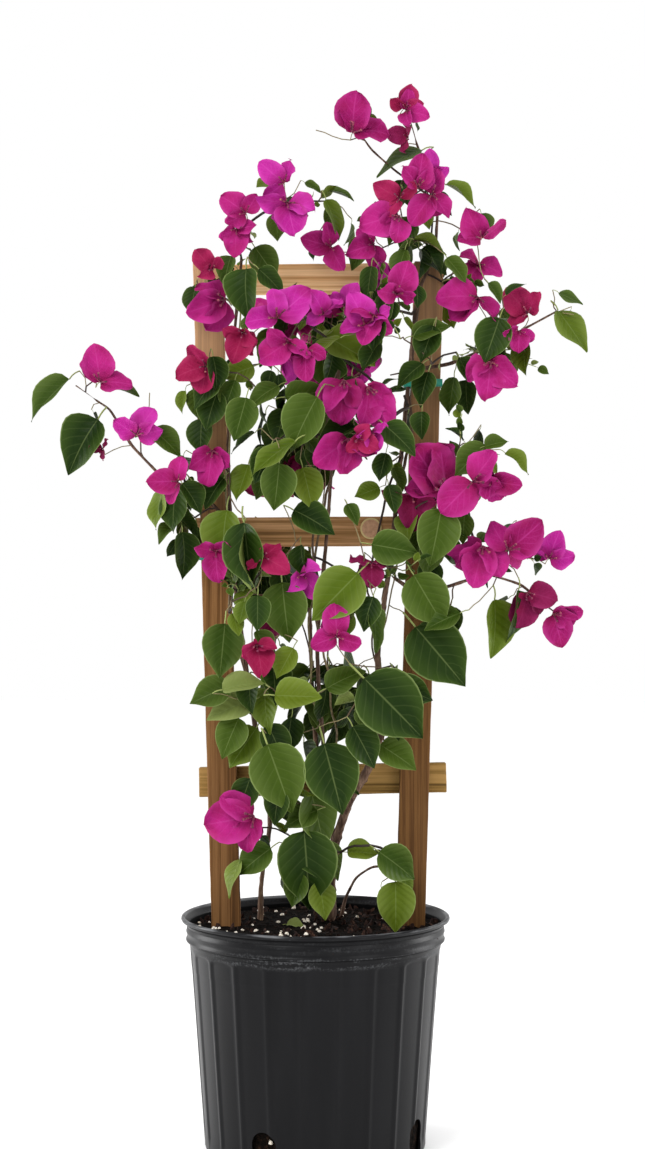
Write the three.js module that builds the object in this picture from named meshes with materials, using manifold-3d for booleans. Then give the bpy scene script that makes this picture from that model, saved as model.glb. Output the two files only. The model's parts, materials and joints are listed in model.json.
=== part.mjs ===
// A bougainvillea trained up a fan-shaped ladder trellis in a round nursery pot.
// Millimetres, +Z up, +X to the right of the flowering front, +Y away from it.
// The origin is the centre of the pot's flat underside.
import * as THREE from "three";
import { mergeVertices } from "three/addons/utils/BufferGeometryUtils.js";
import Module from "manifold-3d";

const wasm = await Module();
wasm.setup();

// Clearance between neighbouring pieces, and the larger one that uneven foliage needs.
const gap = 0.3;
const leafGap = 0.6;

const pot = {
  height: 241,
  baseRadius: 115,
  wallTopRadius: 129.6,
  wallTop: 195,
  bandRadius: 134,
  bandFoot: 211,
  bandTop: 227,
  lipRadius: 140,
  lipFoot: 233,
  wall: 2,
  floor: 3,
  segments: 32,
  drainCount: 4,
  drainTurn: 26.5,
  drainWidth: 27,
  drainHeight: 40,
  drainInset: 14,
  drainDepth: 24,
};

const soilTop = 230;

const trellis = {
  centreX: 3,
  frontY: -2.5,
  uprightWidth: 30.5,
  uprightThick: 15,
  uprightLength: 914,
  foot: 9,
  halfWidthAtSoil: 111.5,
  halfWidthAtTop: 131,
  rungHeight: 31,
  rungThick: 13,
};

// Rungs behind the uprights: height of the middle, middle across, length, tilt in degrees.
const rungs = [
  { name: "rung_low", z: 380, x: 7.6, length: 260, tilt: 1.1, colour: 0xb08b55 },
  { name: "rung_middle", z: 641, x: 4, length: 260, tilt: 0.4, colour: 0x8a6138 },
  { name: "rung_top", z: 907, x: 3, length: 262, tilt: 0.5, colour: 0xc8a478 },
];

// The round wooden disc on the front of the middle rung.
const plug = { x: 58.3, z: 644.2, radius: 11.25, thick: 5, sides: 16 };

// Plastic ties: the height of each, and how far its loop reaches past the upright's inner
// edge and front face to take in the bough.
const ties = [
  { name: "tie_right", side: 1, z: 795, reach: 7.5, front: 11 },
  { name: "tie_left", side: -1, z: 615, reach: 8, front: 11 },
];
const tie = { height: 8, thick: 1.2, corner: 0.8, slack: 0.5 };

// Limbs: knots from base to tip, radii at the two ends, how much the foot flares, the piece
// each grows from, and the mass of foliage in which it ends. Carriers come before what they carry.
const limbs = [
  {
    name: "trunk",
    from: "soil",
    knots: [[15, 30, 226], [18, 24, 300], [38, 5, 365], [60, -6, 402], [71, -9, 436]],
    base: 5.6,
    tip: 4.2,
    flare: 0.75,
  },
  {
    name: "stem_left",
    from: "soil",
    knots: [[-57.5, 31, 226], [-58, 30, 262], [-53, 28, 300]],
    base: 3.4,
    tip: 3,
    flare: 0.6,
  },
  {
    name: "bough_right",
    from: "trunk",
    knots: [[71, -9, 430], [64, -14, 500], [78, -14, 610], [97, -9.5, 795], [106, -11, 892]],
    base: 4,
    tip: 2.6,
  },
  {
    name: "bough_left",
    from: "stem_left",
    knots: [
      [-53, 28, 296], [-47, 4, 352], [-66, -13, 460],
      [-86, -9, 615], [-90, -12, 760], [-74, -14, 952],
    ],
    base: 3.4,
    tip: 2,
    endsIn: "top_left",
  },
  {
    name: "bough_centre",
    from: "trunk",
    knots: [[20, 22, 312], [10, 0, 400], [2, -14, 520], [12, -13, 640], [24, -22, 800]],
    base: 3.2,
    tip: 2,
    endsIn: "upper_centre",
  },
  {
    name: "bough_back",
    from: "trunk",
    knots: [[17, 26, 292], [4, 56, 370], [-6, 72, 540], [-4, 76, 690], [8, 80, 815]],
    base: 3.2,
    tip: 2,
    endsIn: "upper_back",
  },
  {
    name: "bough_top",
    from: "bough_right",
    knots: [[106, -11, 888], [127, -9, 938], [125, -8, 990], [98, -7, 1062]],
    base: 2.5,
    tip: 1.6,
    endsIn: "tip_right",
  },
  {
    name: "shoot_top",
    from: "bough_top",
    knots: [[125, -9, 985], [90, -14, 1010], [60, -17, 1034], [42, -19, 1060]],
    base: 1.7,
    tip: 1.1,
    endsIn: "tip_left",
  },
  {
    name: "reach_left",
    from: "bough_left",
    knots: [
      [-87, -10, 650], [-125, -15, 684], [-166, -12, 702],
      [-206, -8, 752], [-224, -5, 784], [-250, -7, 790],
    ],
    base: 2.6,
    tip: 1.3,
    endsIn: "leaf_left_outer",
  },
  {
    name: "reach_right_low",
    from: "bough_right",
    knots: [[76, -14, 596], [118, -20, 572], [162, -18, 596], [206, -14, 590], [243, -12, 560]],
    base: 2.6,
    tip: 1.4,
    endsIn: "tip_right_low",
  },
  {
    name: "reach_right_top",
    from: "bough_right",
    knots: [[99, -10, 808], [142, -15, 815], [192, -12, 838], [248, -9, 868]],
    base: 2.6,
    tip: 1.4,
    endsIn: "tip_right_high",
  },
  {
    name: "shoot_low",
    from: "soil",
    knots: [[27, 44, 226], [35, 40, 262], [54, 26, 286], [80, 4, 290]],
    base: 2,
    tip: 1.3,
    flare: 0.4,
    endsIn: "foot_right",
  },
];
const limbSides = 5;
const limbStep = 42;
const flareHeight = 14;

// Masses of foliage: middle of each, its full width, depth and height, and how far its top
// leans sideways for each unit of height. The furthest tips come first, and the masses
// nearer the trellis are cut round them.
const masses = [
  { name: "tip_left", kind: "bloom", at: [38, -20, 1073], size: [50, 52, 62], lean: -0.3 },
  { name: "tip_right", kind: "bloom", at: [93, -5, 1067], size: [52, 58, 62], lean: 0.2 },
  { name: "top_outer", kind: "bloom", at: [158, 5, 963], size: [52, 80, 87], lean: -0.2 },
  { name: "tip_right_high", kind: "leaf", at: [262, -10, 865], size: [46, 46, 67], lean: -0.3 },
  { name: "leaf_left_outer", kind: "leaf", at: [-256, -8, 757], size: [82, 60, 104], lean: -0.3 },
  { name: "flower_left", kind: "bloom", at: [-212, 0, 804], size: [66, 60, 64], lean: -0.2 },
  { name: "flower_left_inner", kind: "bloom", at: [-164, -15, 746], size: [62, 60, 50], lean: 0.2 },
  { name: "tip_right_low", kind: "bloom", at: [257, -10, 542], size: [46, 48, 54], lean: 0.1 },
  { name: "leaf_right_low", kind: "leaf", at: [202, -15, 549], size: [62, 68, 83], lean: -0.1 },
  { name: "foot_left", kind: "bloom", at: [-82, -45, 330], size: [76, 58, 84], lean: -0.5 },
  { name: "foot_right", kind: "leaf", at: [85, -25, 277], size: [52, 60, 86], lean: 0 },
  { name: "foot_centre", kind: "leaf", at: [-8, -30, 300], size: [78, 68, 107], lean: 0.1 },
  { name: "top_middle", kind: "leaf", at: [20, 0, 954], size: [72, 78, 82], lean: 0.1 },
  { name: "top_left", kind: "bloom", at: [-46, -15, 972], size: [97, 112, 100], lean: 0.3 },
  { name: "top_right", kind: "bloom", at: [95, -10, 978], size: [96, 112, 112], lean: 0.2 },
  { name: "shoulder_left", kind: "bloom", at: [-116, -20, 882], size: [48, 82, 79], lean: 0.2 },
  { name: "shoulder_right", kind: "bloom", at: [148, 0, 897], size: [56, 100, 79], lean: 0 },
  { name: "right_spray", kind: "bloom", at: [184, -10, 832], size: [98, 110, 130], lean: 0.35 },
  { name: "upper_right", kind: "bloom", at: [77, -44, 866], size: [91, 112, 103], lean: 0 },
  { name: "upper_centre", kind: "bloom", at: [-26, -55, 833], size: [115, 112, 120], lean: 0.1 },
  { name: "upper_back", kind: "bloom", at: [15, 85, 850], size: [165, 108, 118], lean: 0 },
  { name: "left_column", kind: "leaf", at: [-107, -15, 793], size: [77, 118, 73], lean: 0 },
  { name: "left_hang", kind: "leaf", at: [-142, -15, 642], size: [46, 68, 104], lean: -0.15 },
  { name: "left_middle", kind: "bloom", at: [-124, -25, 695], size: [95, 108, 62], lean: 0.4 },
  { name: "right_middle", kind: "bloom", at: [151, -25, 708], size: [128, 108, 87], lean: 0 },
  { name: "right_flowers", kind: "bloom", at: [196, -15, 612], size: [124, 84, 88], lean: -0.3 },
  { name: "centre_right", kind: "bloom", at: [62, -50, 740], size: [94, 110, 150], lean: 0.1 },
  { name: "centre_left", kind: "leaf", at: [-38, -50, 722], size: [124, 112, 128], lean: 0.2 },
  { name: "centre_back", kind: "leaf", at: [-8, 82, 742], size: [132, 106, 112], lean: 0 },
  { name: "right_low", kind: "leaf", at: [112, -35, 628], size: [104, 108, 112], lean: 0.1 },
  { name: "right_hang", kind: "leaf", at: [128, -30, 544], size: [62, 90, 138], lean: -0.35 },
  { name: "middle", kind: "leaf", at: [34, -40, 574], size: [92, 94, 114], lean: 0 },
  { name: "left_inner", kind: "leaf", at: [-63, -40, 580], size: [108, 108, 114], lean: 0 },
  { name: "middle_back", kind: "leaf", at: [-40, 76, 590], size: [122, 98, 106], lean: 0 },
  { name: "lower_left", kind: "leaf", at: [-45, -40, 475], size: [140, 108, 128], lean: -0.4 },
  { name: "lower_right", kind: "leaf", at: [65, -35, 451], size: [99, 108, 99], lean: -0.1 },
  { name: "lower_back", kind: "leaf", at: [18, 70, 462], size: [146, 94, 92], lean: 0 },
  { name: "low_front", kind: "leaf", at: [-28, -30, 381], size: [155, 96, 102], lean: 0.1 },
];
const fineMass = 126;
const lobeCount = 11;
const lobeHeight = 0.42;
const lobeSharpness = 5;

const colours = {
  pot: 0x2a2a2c,
  soil: 0x2b221d,
  upright: 0x7a5431,
  plug: 0xd0a383,
  tie: 0x2b8f7c,
  bark: 0x6d5743,
  leaf: 0x3f6a2b,
  bloom: 0xbb2a94,
};

// ---------- solids from geometries and back ----------

function solidOf(geometry) {
  const bare = geometry.index ? geometry.toNonIndexed() : geometry.clone();
  bare.deleteAttribute("normal");
  bare.deleteAttribute("uv");
  const merged = mergeVertices(bare, 1e-4);
  return new wasm.Manifold(
    new wasm.Mesh({
      numProp: 3,
      vertProperties: merged.attributes.position.array,
      triVerts: new Uint32Array(merged.index.array),
    }),
  );
}

function geometryOf(solid) {
  const mesh = solid.getMesh();
  const geometry = new THREE.BufferGeometry();
  const position = new THREE.BufferAttribute(mesh.vertProperties, mesh.numProp);
  geometry.setAttribute("position", position);
  geometry.setIndex(new THREE.BufferAttribute(mesh.triVerts, 1));
  const flat = geometry.toNonIndexed();
  flat.computeVertexNormals();
  return flat;
}

function largestBody(solid) {
  return solid.decompose().sort((a, b) => b.volume() - a.volume())[0];
}

function cutBy(solid, cutters) {
  return largestBody(cutters.reduce((rest, cutter) => rest.subtract(cutter), solid));
}

function block(width, depth, height, turn, at) {
  const geometry = new THREE.BoxGeometry(width, depth, height);
  geometry.rotateY(turn);
  geometry.translate(...at);
  return solidOf(geometry);
}

// A repeatable stream of numbers from 0 to 1, started from a name.
function seededFrom(name) {
  let state = 7;
  for (const letter of name) {
    state = (state * 31 + letter.charCodeAt(0)) >>> 0;
  }
  return () => {
    state = (state + 0x6d2b79f5) >>> 0;
    let mixed = Math.imul(state ^ (state >>> 15), 1 | state);
    mixed = (mixed + Math.imul(mixed ^ (mixed >>> 7), 61 | mixed)) ^ mixed;
    return ((mixed ^ (mixed >>> 14)) >>> 0) / 4294967296;
  };
}

// ---------- pot and soil ----------

function wallRadiusAt(z) {
  return pot.baseRadius + ((pot.wallTopRadius - pot.baseRadius) * z) / pot.wallTop;
}

function turned(profile) {
  const geometry = new THREE.LatheGeometry(
    profile.map(([radius, z]) => new THREE.Vector2(radius, z)),
    pot.segments,
  );
  geometry.rotateX(Math.PI / 2);
  return solidOf(geometry);
}

function potShell() {
  return turned([
    [0, 0],
    [pot.baseRadius, 0],
    [pot.wallTopRadius, pot.wallTop],
    [pot.bandRadius, pot.bandFoot],
    [pot.bandRadius, pot.bandTop],
    [pot.lipRadius, pot.lipFoot],
    [pot.lipRadius, pot.height],
    [pot.bandRadius + 1, pot.height],
    [pot.bandRadius - pot.wall, pot.bandTop],
    [pot.bandRadius - pot.wall, pot.bandFoot],
    [pot.wallTopRadius - pot.wall, pot.wallTop],
    [wallRadiusAt(pot.floor) - pot.wall, pot.floor],
    [0, pot.floor],
  ]);
}

// An arched cutter for one drain hole, which breaks through wall and floor edge alike.
function drainCutter(angle) {
  const half = pot.drainWidth / 2;
  const arch = new THREE.Shape();
  arch.moveTo(-half, -1);
  arch.lineTo(half, -1);
  arch.lineTo(half, pot.drainHeight - half);
  arch.absarc(0, pot.drainHeight - half, half, 0, Math.PI, false);
  const options = { depth: pot.drainDepth, bevelEnabled: false, curveSegments: 5 };
  const geometry = new THREE.ExtrudeGeometry(arch, options);
  geometry.rotateX(Math.PI / 2);
  geometry.translate(0, pot.drainInset - pot.baseRadius, 0);
  geometry.rotateZ(angle);
  return solidOf(geometry);
}

function potSolid() {
  const drains = [];
  for (let i = 0; i < pot.drainCount; i += 1) {
    const degrees = i * (360 / pot.drainCount) - pot.drainTurn;
    drains.push(drainCutter(THREE.MathUtils.degToRad(degrees)));
  }
  return cutBy(potShell(), drains);
}

function soilSolid(grow) {
  const inset = pot.wall + gap - grow;
  return turned([
    [0, pot.floor + gap - grow],
    [wallRadiusAt(pot.floor) - inset, pot.floor + gap - grow],
    [pot.wallTopRadius - inset, pot.wallTop],
    [pot.bandRadius - inset, pot.bandFoot],
    [pot.bandRadius - inset, soilTop + grow],
    [0, soilTop + grow],
  ]);
}

// ---------- trellis ----------

const spread = (trellis.halfWidthAtTop - trellis.halfWidthAtSoil) /
  (trellis.foot + trellis.uprightLength - soilTop);

function outerFaceAt(z) {
  return trellis.halfWidthAtSoil + spread * (z - soilTop);
}

function uprightSolid(side, grow) {
  const z = trellis.foot + trellis.uprightLength / 2;
  const x = trellis.centreX + side * (outerFaceAt(z) - trellis.uprightWidth / 2);
  const y = trellis.frontY + trellis.uprightThick / 2;
  return block(
    trellis.uprightWidth + 2 * grow,
    trellis.uprightThick + 2 * grow,
    trellis.uprightLength + 2 * grow,
    side * Math.atan(spread),
    [x, y, z],
  );
}

function rungSolid(rung, grow) {
  const y = trellis.frontY + trellis.uprightThick + gap + trellis.rungThick / 2;
  return block(
    rung.length + 2 * grow,
    trellis.rungThick + 2 * grow,
    trellis.rungHeight + 2 * grow,
    -THREE.MathUtils.degToRad(rung.tilt),
    [rung.x, y, rung.z],
  );
}

function plugSolid(grow) {
  const radius = plug.radius + grow;
  const geometry = new THREE.CylinderGeometry(radius, radius, plug.thick + 2 * grow, plug.sides);
  const y = trellis.frontY + trellis.uprightThick - plug.thick / 2;
  geometry.translate(plug.x, y, plug.z);
  return solidOf(geometry);
}

function roundedOutline(left, right, front, back, round) {
  const outline = new THREE.Shape();
  outline.absarc(right - round, back - round, round, 0, Math.PI / 2, false);
  outline.absarc(left + round, back - round, round, Math.PI / 2, Math.PI, false);
  outline.absarc(left + round, front + round, round, Math.PI, 1.5 * Math.PI, false);
  outline.absarc(right - round, front + round, round, 1.5 * Math.PI, 2 * Math.PI, false);
  outline.closePath();
  return outline;
}

// A flat strap looped round the upright and the bough tied to it.
function tieSolid(loop, grow) {
  const outer = outerFaceAt(loop.z) + tie.slack;
  const inner = outerFaceAt(loop.z) - trellis.uprightWidth - loop.reach;
  const sides = [trellis.centreX + loop.side * outer, trellis.centreX + loop.side * inner];
  const left = Math.min(...sides);
  const right = Math.max(...sides);
  const front = trellis.frontY - loop.front;
  const back = trellis.frontY + trellis.uprightThick + gap;
  const out = tie.thick + grow;
  const round = tie.corner;
  const strap = roundedOutline(left - out, right + out, front - out, back + out, round + out);
  strap.holes.push(roundedOutline(left + grow, right - grow, front + grow, back - grow, round - grow));
  const height = tie.height + 2 * grow;
  const options = { depth: height, bevelEnabled: false, curveSegments: 1 };
  const geometry = new THREE.ExtrudeGeometry(strap, options);
  geometry.translate(0, 0, loop.z - height / 2);
  return solidOf(geometry);
}

// ---------- limbs ----------

// A tapering round limb: a cone frustum bent along a smooth curve through the knots.
function limbSolid(limb, grow) {
  const curve = new THREE.CatmullRomCurve3(limb.knots.map((knot) => new THREE.Vector3(...knot)));
  const length = curve.getLength();
  const steps = Math.max(4, Math.round(length / limbStep));
  const frames = curve.computeFrenetFrames(steps, false);
  const geometry = new THREE.CylinderGeometry(1, 1, 1, limbSides, steps);
  const spots = geometry.attributes.position;
  for (let i = 0; i < spots.count; i += 1) {
    const along = spots.getY(i) + 0.5;
    const step = Math.round(along * steps);
    const swell = (limb.flare || 0) * Math.exp((-along * length) / flareHeight);
    const radius = (limb.base + (limb.tip - limb.base) * along) * (1 + swell) + grow;
    const past = step === 0 ? -grow : step === steps ? grow : 0;
    const point = curve.getPointAt(along);
    point.addScaledVector(frames.tangents[step], past);
    point.addScaledVector(frames.normals[step], spots.getX(i) * radius);
    point.addScaledVector(frames.binormals[step], -spots.getZ(i) * radius);
    spots.setXYZ(i, point.x, point.y, point.z);
  }
  return solidOf(geometry);
}

// ---------- masses of foliage ----------

// A closed lumpy solid: a faceted ball whose radius rises over a few seeded lobes, leaned
// sideways and fitted to the size of its mass.
function massSolid(mass, grow) {
  const random = seededFrom(mass.name);
  const lobes = [];
  for (let i = 0; i < lobeCount; i += 1) {
    const fromPole = Math.acos(2 * random() - 1);
    lobes.push(new THREE.Vector3().setFromSphericalCoords(1, fromPole, 2 * Math.PI * random()));
  }
  const geometry = new THREE.IcosahedronGeometry(1, Math.max(...mass.size) < fineMass ? 1 : 2);
  const spots = geometry.attributes.position;
  const point = new THREE.Vector3();
  for (let i = 0; i < spots.count; i += 1) {
    point.fromBufferAttribute(spots, i).normalize();
    const rise = Math.max(...lobes.map((lobe) => Math.max(0, point.dot(lobe)) ** lobeSharpness));
    point.multiplyScalar(1 - lobeHeight + lobeHeight * rise);
    point.x += mass.lean * point.z;
    spots.setXYZ(i, point.x, point.y, point.z);
  }
  geometry.computeBoundingBox();
  const middle = geometry.boundingBox.getCenter(new THREE.Vector3());
  const extent = geometry.boundingBox.getSize(new THREE.Vector3());
  geometry.translate(-middle.x, -middle.y, -middle.z);
  geometry.scale(mass.size[0] / extent.x, mass.size[1] / extent.y, mass.size[2] / extent.z);
  for (let i = 0; i < spots.count; i += 1) {
    point.fromBufferAttribute(spots, i);
    point.setLength(point.length() + grow);
    spots.setXYZ(i, point.x, point.y, point.z);
  }
  geometry.translate(...mass.at);
  return solidOf(geometry);
}

// ---------- the assembly ----------

const plant = new THREE.Group();

function addPiece(name, solid, colour, roughness) {
  const material = new THREE.MeshStandardMaterial({ color: colour, roughness, metalness: 0 });
  const mesh = new THREE.Mesh(geometryOf(solid), material);
  mesh.name = name;
  plant.add(mesh);
}

const uprights = [
  { name: "upright_left", side: -1 },
  { name: "upright_right", side: 1 },
];

addPiece("pot", potSolid(), colours.pot, 0.5);
const pockets = uprights.map((upright) => uprightSolid(upright.side, gap));
addPiece("soil", cutBy(soilSolid(0), pockets), colours.soil, 0.95);
for (const upright of uprights) {
  addPiece(upright.name, uprightSolid(upright.side, 0), colours.upright, 0.75);
}
for (const rung of rungs) {
  addPiece(rung.name, rungSolid(rung, 0), rung.colour, 0.7);
}
addPiece("rung_plug", plugSolid(0), colours.plug, 0.7);
for (const loop of ties) {
  addPiece(loop.name, tieSolid(loop, 0), colours.tie, 0.5);
}

// Everything stiff that foliage is cut round.
const framework = [
  potShell(),
  soilSolid(gap),
  ...pockets,
  ...rungs.map((rung) => rungSolid(rung, gap)),
  plugSolid(gap),
  ...ties.map((loop) => tieSolid(loop, gap)),
];

for (const limb of limbs) {
  const carrier = limbs.find((other) => other.name === limb.from);
  const cutters = [soilSolid(gap)];
  if (carrier) {
    cutters.push(limbSolid(carrier, gap));
  }
  const ending = masses.find((mass) => mass.name === limb.endsIn);
  if (ending) {
    cutters.push(massSolid(ending, leafGap));
  }
  addPiece(limb.name, cutBy(limbSolid(limb, 0), cutters), colours.bark, 0.85);
}

const limbCutters = new Map(limbs.map((limb) => [limb, limbSolid(limb, gap)]));
const placed = [];
for (const mass of masses) {
  const through = limbs.filter((limb) => limb.endsIn !== mass.name);
  const cutters = [...framework, ...through.map((limb) => limbCutters.get(limb)), ...placed];
  addPiece(mass.name, cutBy(massSolid(mass, 0), cutters), colours[mass.kind], 0.9);
  placed.push(massSolid(mass, leafGap));
}

export default plant;
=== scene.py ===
import json
import math
import random
from functools import partial

import bmesh
import bpy
import numpy as np
from mathutils import Matrix, Vector, noise
from mathutils.bvhtree import BVHTree

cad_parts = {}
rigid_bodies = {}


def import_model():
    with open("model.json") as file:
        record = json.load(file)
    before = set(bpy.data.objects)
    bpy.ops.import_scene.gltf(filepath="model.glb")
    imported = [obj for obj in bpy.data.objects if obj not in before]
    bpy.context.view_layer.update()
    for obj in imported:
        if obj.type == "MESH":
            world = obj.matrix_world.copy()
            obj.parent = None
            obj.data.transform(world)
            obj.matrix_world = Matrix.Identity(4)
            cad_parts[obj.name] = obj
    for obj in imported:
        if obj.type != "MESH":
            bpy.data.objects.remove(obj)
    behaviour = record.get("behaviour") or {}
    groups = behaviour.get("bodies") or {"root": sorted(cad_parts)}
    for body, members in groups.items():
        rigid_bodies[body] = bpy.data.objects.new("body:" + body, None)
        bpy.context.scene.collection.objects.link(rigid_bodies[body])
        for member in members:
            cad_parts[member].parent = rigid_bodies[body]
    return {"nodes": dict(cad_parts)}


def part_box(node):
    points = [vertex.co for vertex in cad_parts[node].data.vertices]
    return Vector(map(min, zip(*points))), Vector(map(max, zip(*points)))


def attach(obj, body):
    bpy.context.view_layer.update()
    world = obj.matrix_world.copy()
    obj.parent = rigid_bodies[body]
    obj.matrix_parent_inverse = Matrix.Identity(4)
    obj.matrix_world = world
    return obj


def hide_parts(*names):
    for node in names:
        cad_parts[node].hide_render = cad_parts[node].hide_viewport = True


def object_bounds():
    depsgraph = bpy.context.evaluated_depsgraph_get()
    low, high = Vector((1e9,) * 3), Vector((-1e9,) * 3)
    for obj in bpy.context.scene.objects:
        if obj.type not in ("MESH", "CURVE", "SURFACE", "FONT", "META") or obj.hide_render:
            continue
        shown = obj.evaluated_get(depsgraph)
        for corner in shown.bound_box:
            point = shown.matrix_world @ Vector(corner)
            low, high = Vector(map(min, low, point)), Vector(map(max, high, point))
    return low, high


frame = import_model()
cadLow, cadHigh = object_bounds()
scene = bpy.context.scene
mm = 0.001
anyTurn = 6.28    # radians, for draws


# an sRGB hex colour as the linear colour that shaders and lights take
def linear(hexText):
    parts = [int(hexText[i:i + 2], 16) / 255 for i in (0, 2, 4)]
    return tuple(p / 12.92 if p <= 0.04045 else ((p + 0.055) / 1.055) ** 2.4 for p in parts) + (1.0,)


# joins a node's inputs to sockets, or to the first live output of other nodes
def joinInputs(node, links):
    for key, source in links.items():
        if isinstance(source, bpy.types.Node):
            source = next(socket for socket in source.outputs if socket.enabled)
        node.id_data.links.new(source, node.inputs[key])


# adds a node: settings fill its properties or its inputs, links join its inputs to other nodes.
# Map Range takes its value at 0, its old range at 1 and 2 and its new range at 3 and 4;
# a colour Mix takes its share at 0 and its two colours at 6 and 7
def addNode(tree, kind, settings=None, links=None):
    node = tree.nodes.new(kind)
    for key, value in (settings or {}).items():
        if key == "stops":
            ramp = node.color_ramp.elements
            while len(ramp) < len(value):
                ramp.new(0.5)
            for element, (position, colour) in zip(ramp, value):
                element.position = position
                element.color = linear(colour)
        elif isinstance(key, str) and hasattr(node, key):
            setattr(node, key, value)
        else:
            node.inputs[key].default_value = value
    joinInputs(node, links or {})
    return node


# a material with its Principled shader's constants set, what adds a node to it, and its Object coordinates
def newMaterial(name, constants):
    material = bpy.data.materials.new(name)
    material.use_nodes = True
    shader = material.node_tree.nodes["Principled BSDF"]
    for socket, value in constants.items():
        shader.inputs[socket].default_value = value
    add = partial(addNode, material.node_tree)
    return material, add, add("ShaderNodeTexCoord").outputs["Object"]


# the material with its finished colour, bump and so on joined to its shader
def finished(material, links):
    joinInputs(material.node_tree.nodes["Principled BSDF"], links)
    return material


# a material whose colour follows one noise: scale is in grains per metre
def speckled(name, constants, scale, detail, stops, noiseRoughness=0.5, bump=None):
    material, add, place = newMaterial(name, constants)
    specks = add("ShaderNodeTexNoise", {"Scale": scale, "Detail": detail, "Roughness": noiseRoughness},
                 {"Vector": place})
    links = {"Base Color": add("ShaderNodeValToRGB", {"stops": stops}, {"Fac": specks})}
    if bump:
        links["Normal"] = add("ShaderNodeBump", {"Strength": bump[0], "Distance": bump[1]},
                              {"Height": specks})
    return finished(material, links)


def smoothStep(low, high, value):
    t = min(1, max(0, (value - low) / (high - low)))
    return t * t * (3 - 2 * t)


# gives a finished mesh its material and its body, and hides the CAD nodes that it stands for
def addPiece(name, mesh, material, nodes, crease=40):
    mesh.name = name
    mesh.materials.clear()
    mesh.materials.append(material)
    mesh.shade_smooth()
    mesh.set_sharp_from_angle(angle=math.radians(crease))
    piece = addObject(name, mesh)
    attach(piece, "root")
    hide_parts(*nodes)
    print(f"{name}: {len(mesh.polygons)} faces, stands for {len(nodes)} nodes")


def addObject(name, data):
    thing = bpy.data.objects.new(name, data)
    scene.collection.objects.link(thing)
    return thing


# the plain mesh that an object's modifiers make
def evaluatedMesh(thing):
    return bpy.data.meshes.new_from_object(thing.evaluated_get(bpy.context.evaluated_depsgraph_get()))


def newMesh(name, points, edges, faces):
    mesh = bpy.data.meshes.new(name)
    mesh.from_pydata(points, edges, faces)
    return mesh


# the mesh of a bmesh that is done with
def workMesh(name, work):
    mesh = bpy.data.meshes.new(name)
    work.to_mesh(mesh)
    work.free()
    return mesh


def keepAttribute(mesh, name, kind, values):
    field = "vector" if kind == "FLOAT_VECTOR" else "value"
    mesh.attributes.new(name, kind, "POINT").data.foreach_set(field, values)


# angles evenly spaced round a turn
def roundTurn(count):
    return [math.tau * i / count for i in range(count)]


# a mesh from closed rings of points, one after another, with both ends closed by a fan
def ringMesh(name, rings):
    count = len(rings[0])
    points = [p for ring in rings for p in ring]
    pairs = [(i, (i + 1) % count) for i in range(count)]
    faces = []
    for row in range(0, (len(rings) - 1) * count, count):
        faces += [(row + i, row + j, row + count + j, row + count + i) for i, j in pairs]
    for ring, first, turnRound in ((rings[0], 0, True), (rings[-1], (len(rings) - 1) * count, False)):
        centre = len(points)
        points.append(sum(ring, Vector()) / count)
        faces += [(first + j, first + i, centre) if turnRound else (first + i, first + j, centre)
                  for i, j in pairs]
    return newMesh(name, points, [], faces)


# the same mesh with its faces turned outwards
def facedOut(mesh):
    work = bmesh.new()
    work.from_mesh(mesh)
    bmesh.ops.recalc_face_normals(work, faces=work.faces)
    work.to_mesh(mesh)
    work.free()
    return mesh


# a Geometry Nodes tree with these named inputs, what adds a node to it, and its input node
def newTree(name, inputs):
    tree = bpy.data.node_groups.new(name, "GeometryNodeTree")
    tree.interface.new_socket("Geometry", in_out="INPUT", socket_type="NodeSocketGeometry")
    for label, kind, value in inputs + [("Material", "NodeSocketMaterial", None)]:
        socket = tree.interface.new_socket(label, in_out="INPUT", socket_type=kind)
        if value is not None:
            socket.default_value = value
    tree.interface.new_socket("Geometry", in_out="OUTPUT", socket_type="NodeSocketGeometry")
    add = partial(addNode, tree)
    return tree, add, add("NodeGroupInput").outputs


def endTree(add, entry, geometry):
    real = add("GeometryNodeRealizeInstances", {}, {"Geometry": geometry})
    smooth = add("GeometryNodeSetShadeSmooth", {}, {"Geometry": real})
    dressed = add("GeometryNodeSetMaterial", {}, {"Geometry": smooth, "Material": entry["Material"]})
    add("NodeGroupOutput", {}, {"Geometry": dressed})


# puts one of a collection's shapes on each point: turn, size and pick are the points' own attributes
def spreadTree():
    tree, add, entry = newTree("spreadShapes", [("Shapes", "NodeSocketCollection", None)])
    shapes = add("GeometryNodeCollectionInfo", {"Separate Children": True, "Reset Children": True},
                 {"Collection": entry["Shapes"]})
    turn, size, pick = [add("GeometryNodeInputNamedAttribute", {"data_type": kind, "Name": attribute})
                        for attribute, kind in (("turn", "FLOAT_VECTOR"), ("size", "FLOAT"), ("pick", "INT"))]
    turned = add("FunctionNodeEulerToRotation", {}, {"Euler": turn})
    spread = add("GeometryNodeInstanceOnPoints", {"Pick Instance": True}, {
        "Points": entry["Geometry"], "Instance": shapes, "Instance Index": pick, "Rotation": turned,
        "Scale": size})
    endTree(add, entry, spread)
    return tree


# sweeps a round stem along each chain of edges: radius is the points' own attribute
def stemTree():
    tree, add, entry = newTree("sweepStems", [("Sides", "NodeSocketInt", 6)])
    line = add("GeometryNodeMeshToCurve", {}, {"Mesh": entry["Geometry"]})
    ring = add("GeometryNodeCurvePrimitiveCircle", {"Radius": 1.0}, {"Resolution": entry["Sides"]})
    radius = add("GeometryNodeInputNamedAttribute", {"data_type": "FLOAT", "Name": "radius"})
    swept = add("GeometryNodeCurveToMesh", {"Fill Caps": True},
                {"Curve": line, "Profile Curve": ring, "Scale": radius})
    endTree(add, entry, swept)
    return tree


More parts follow.
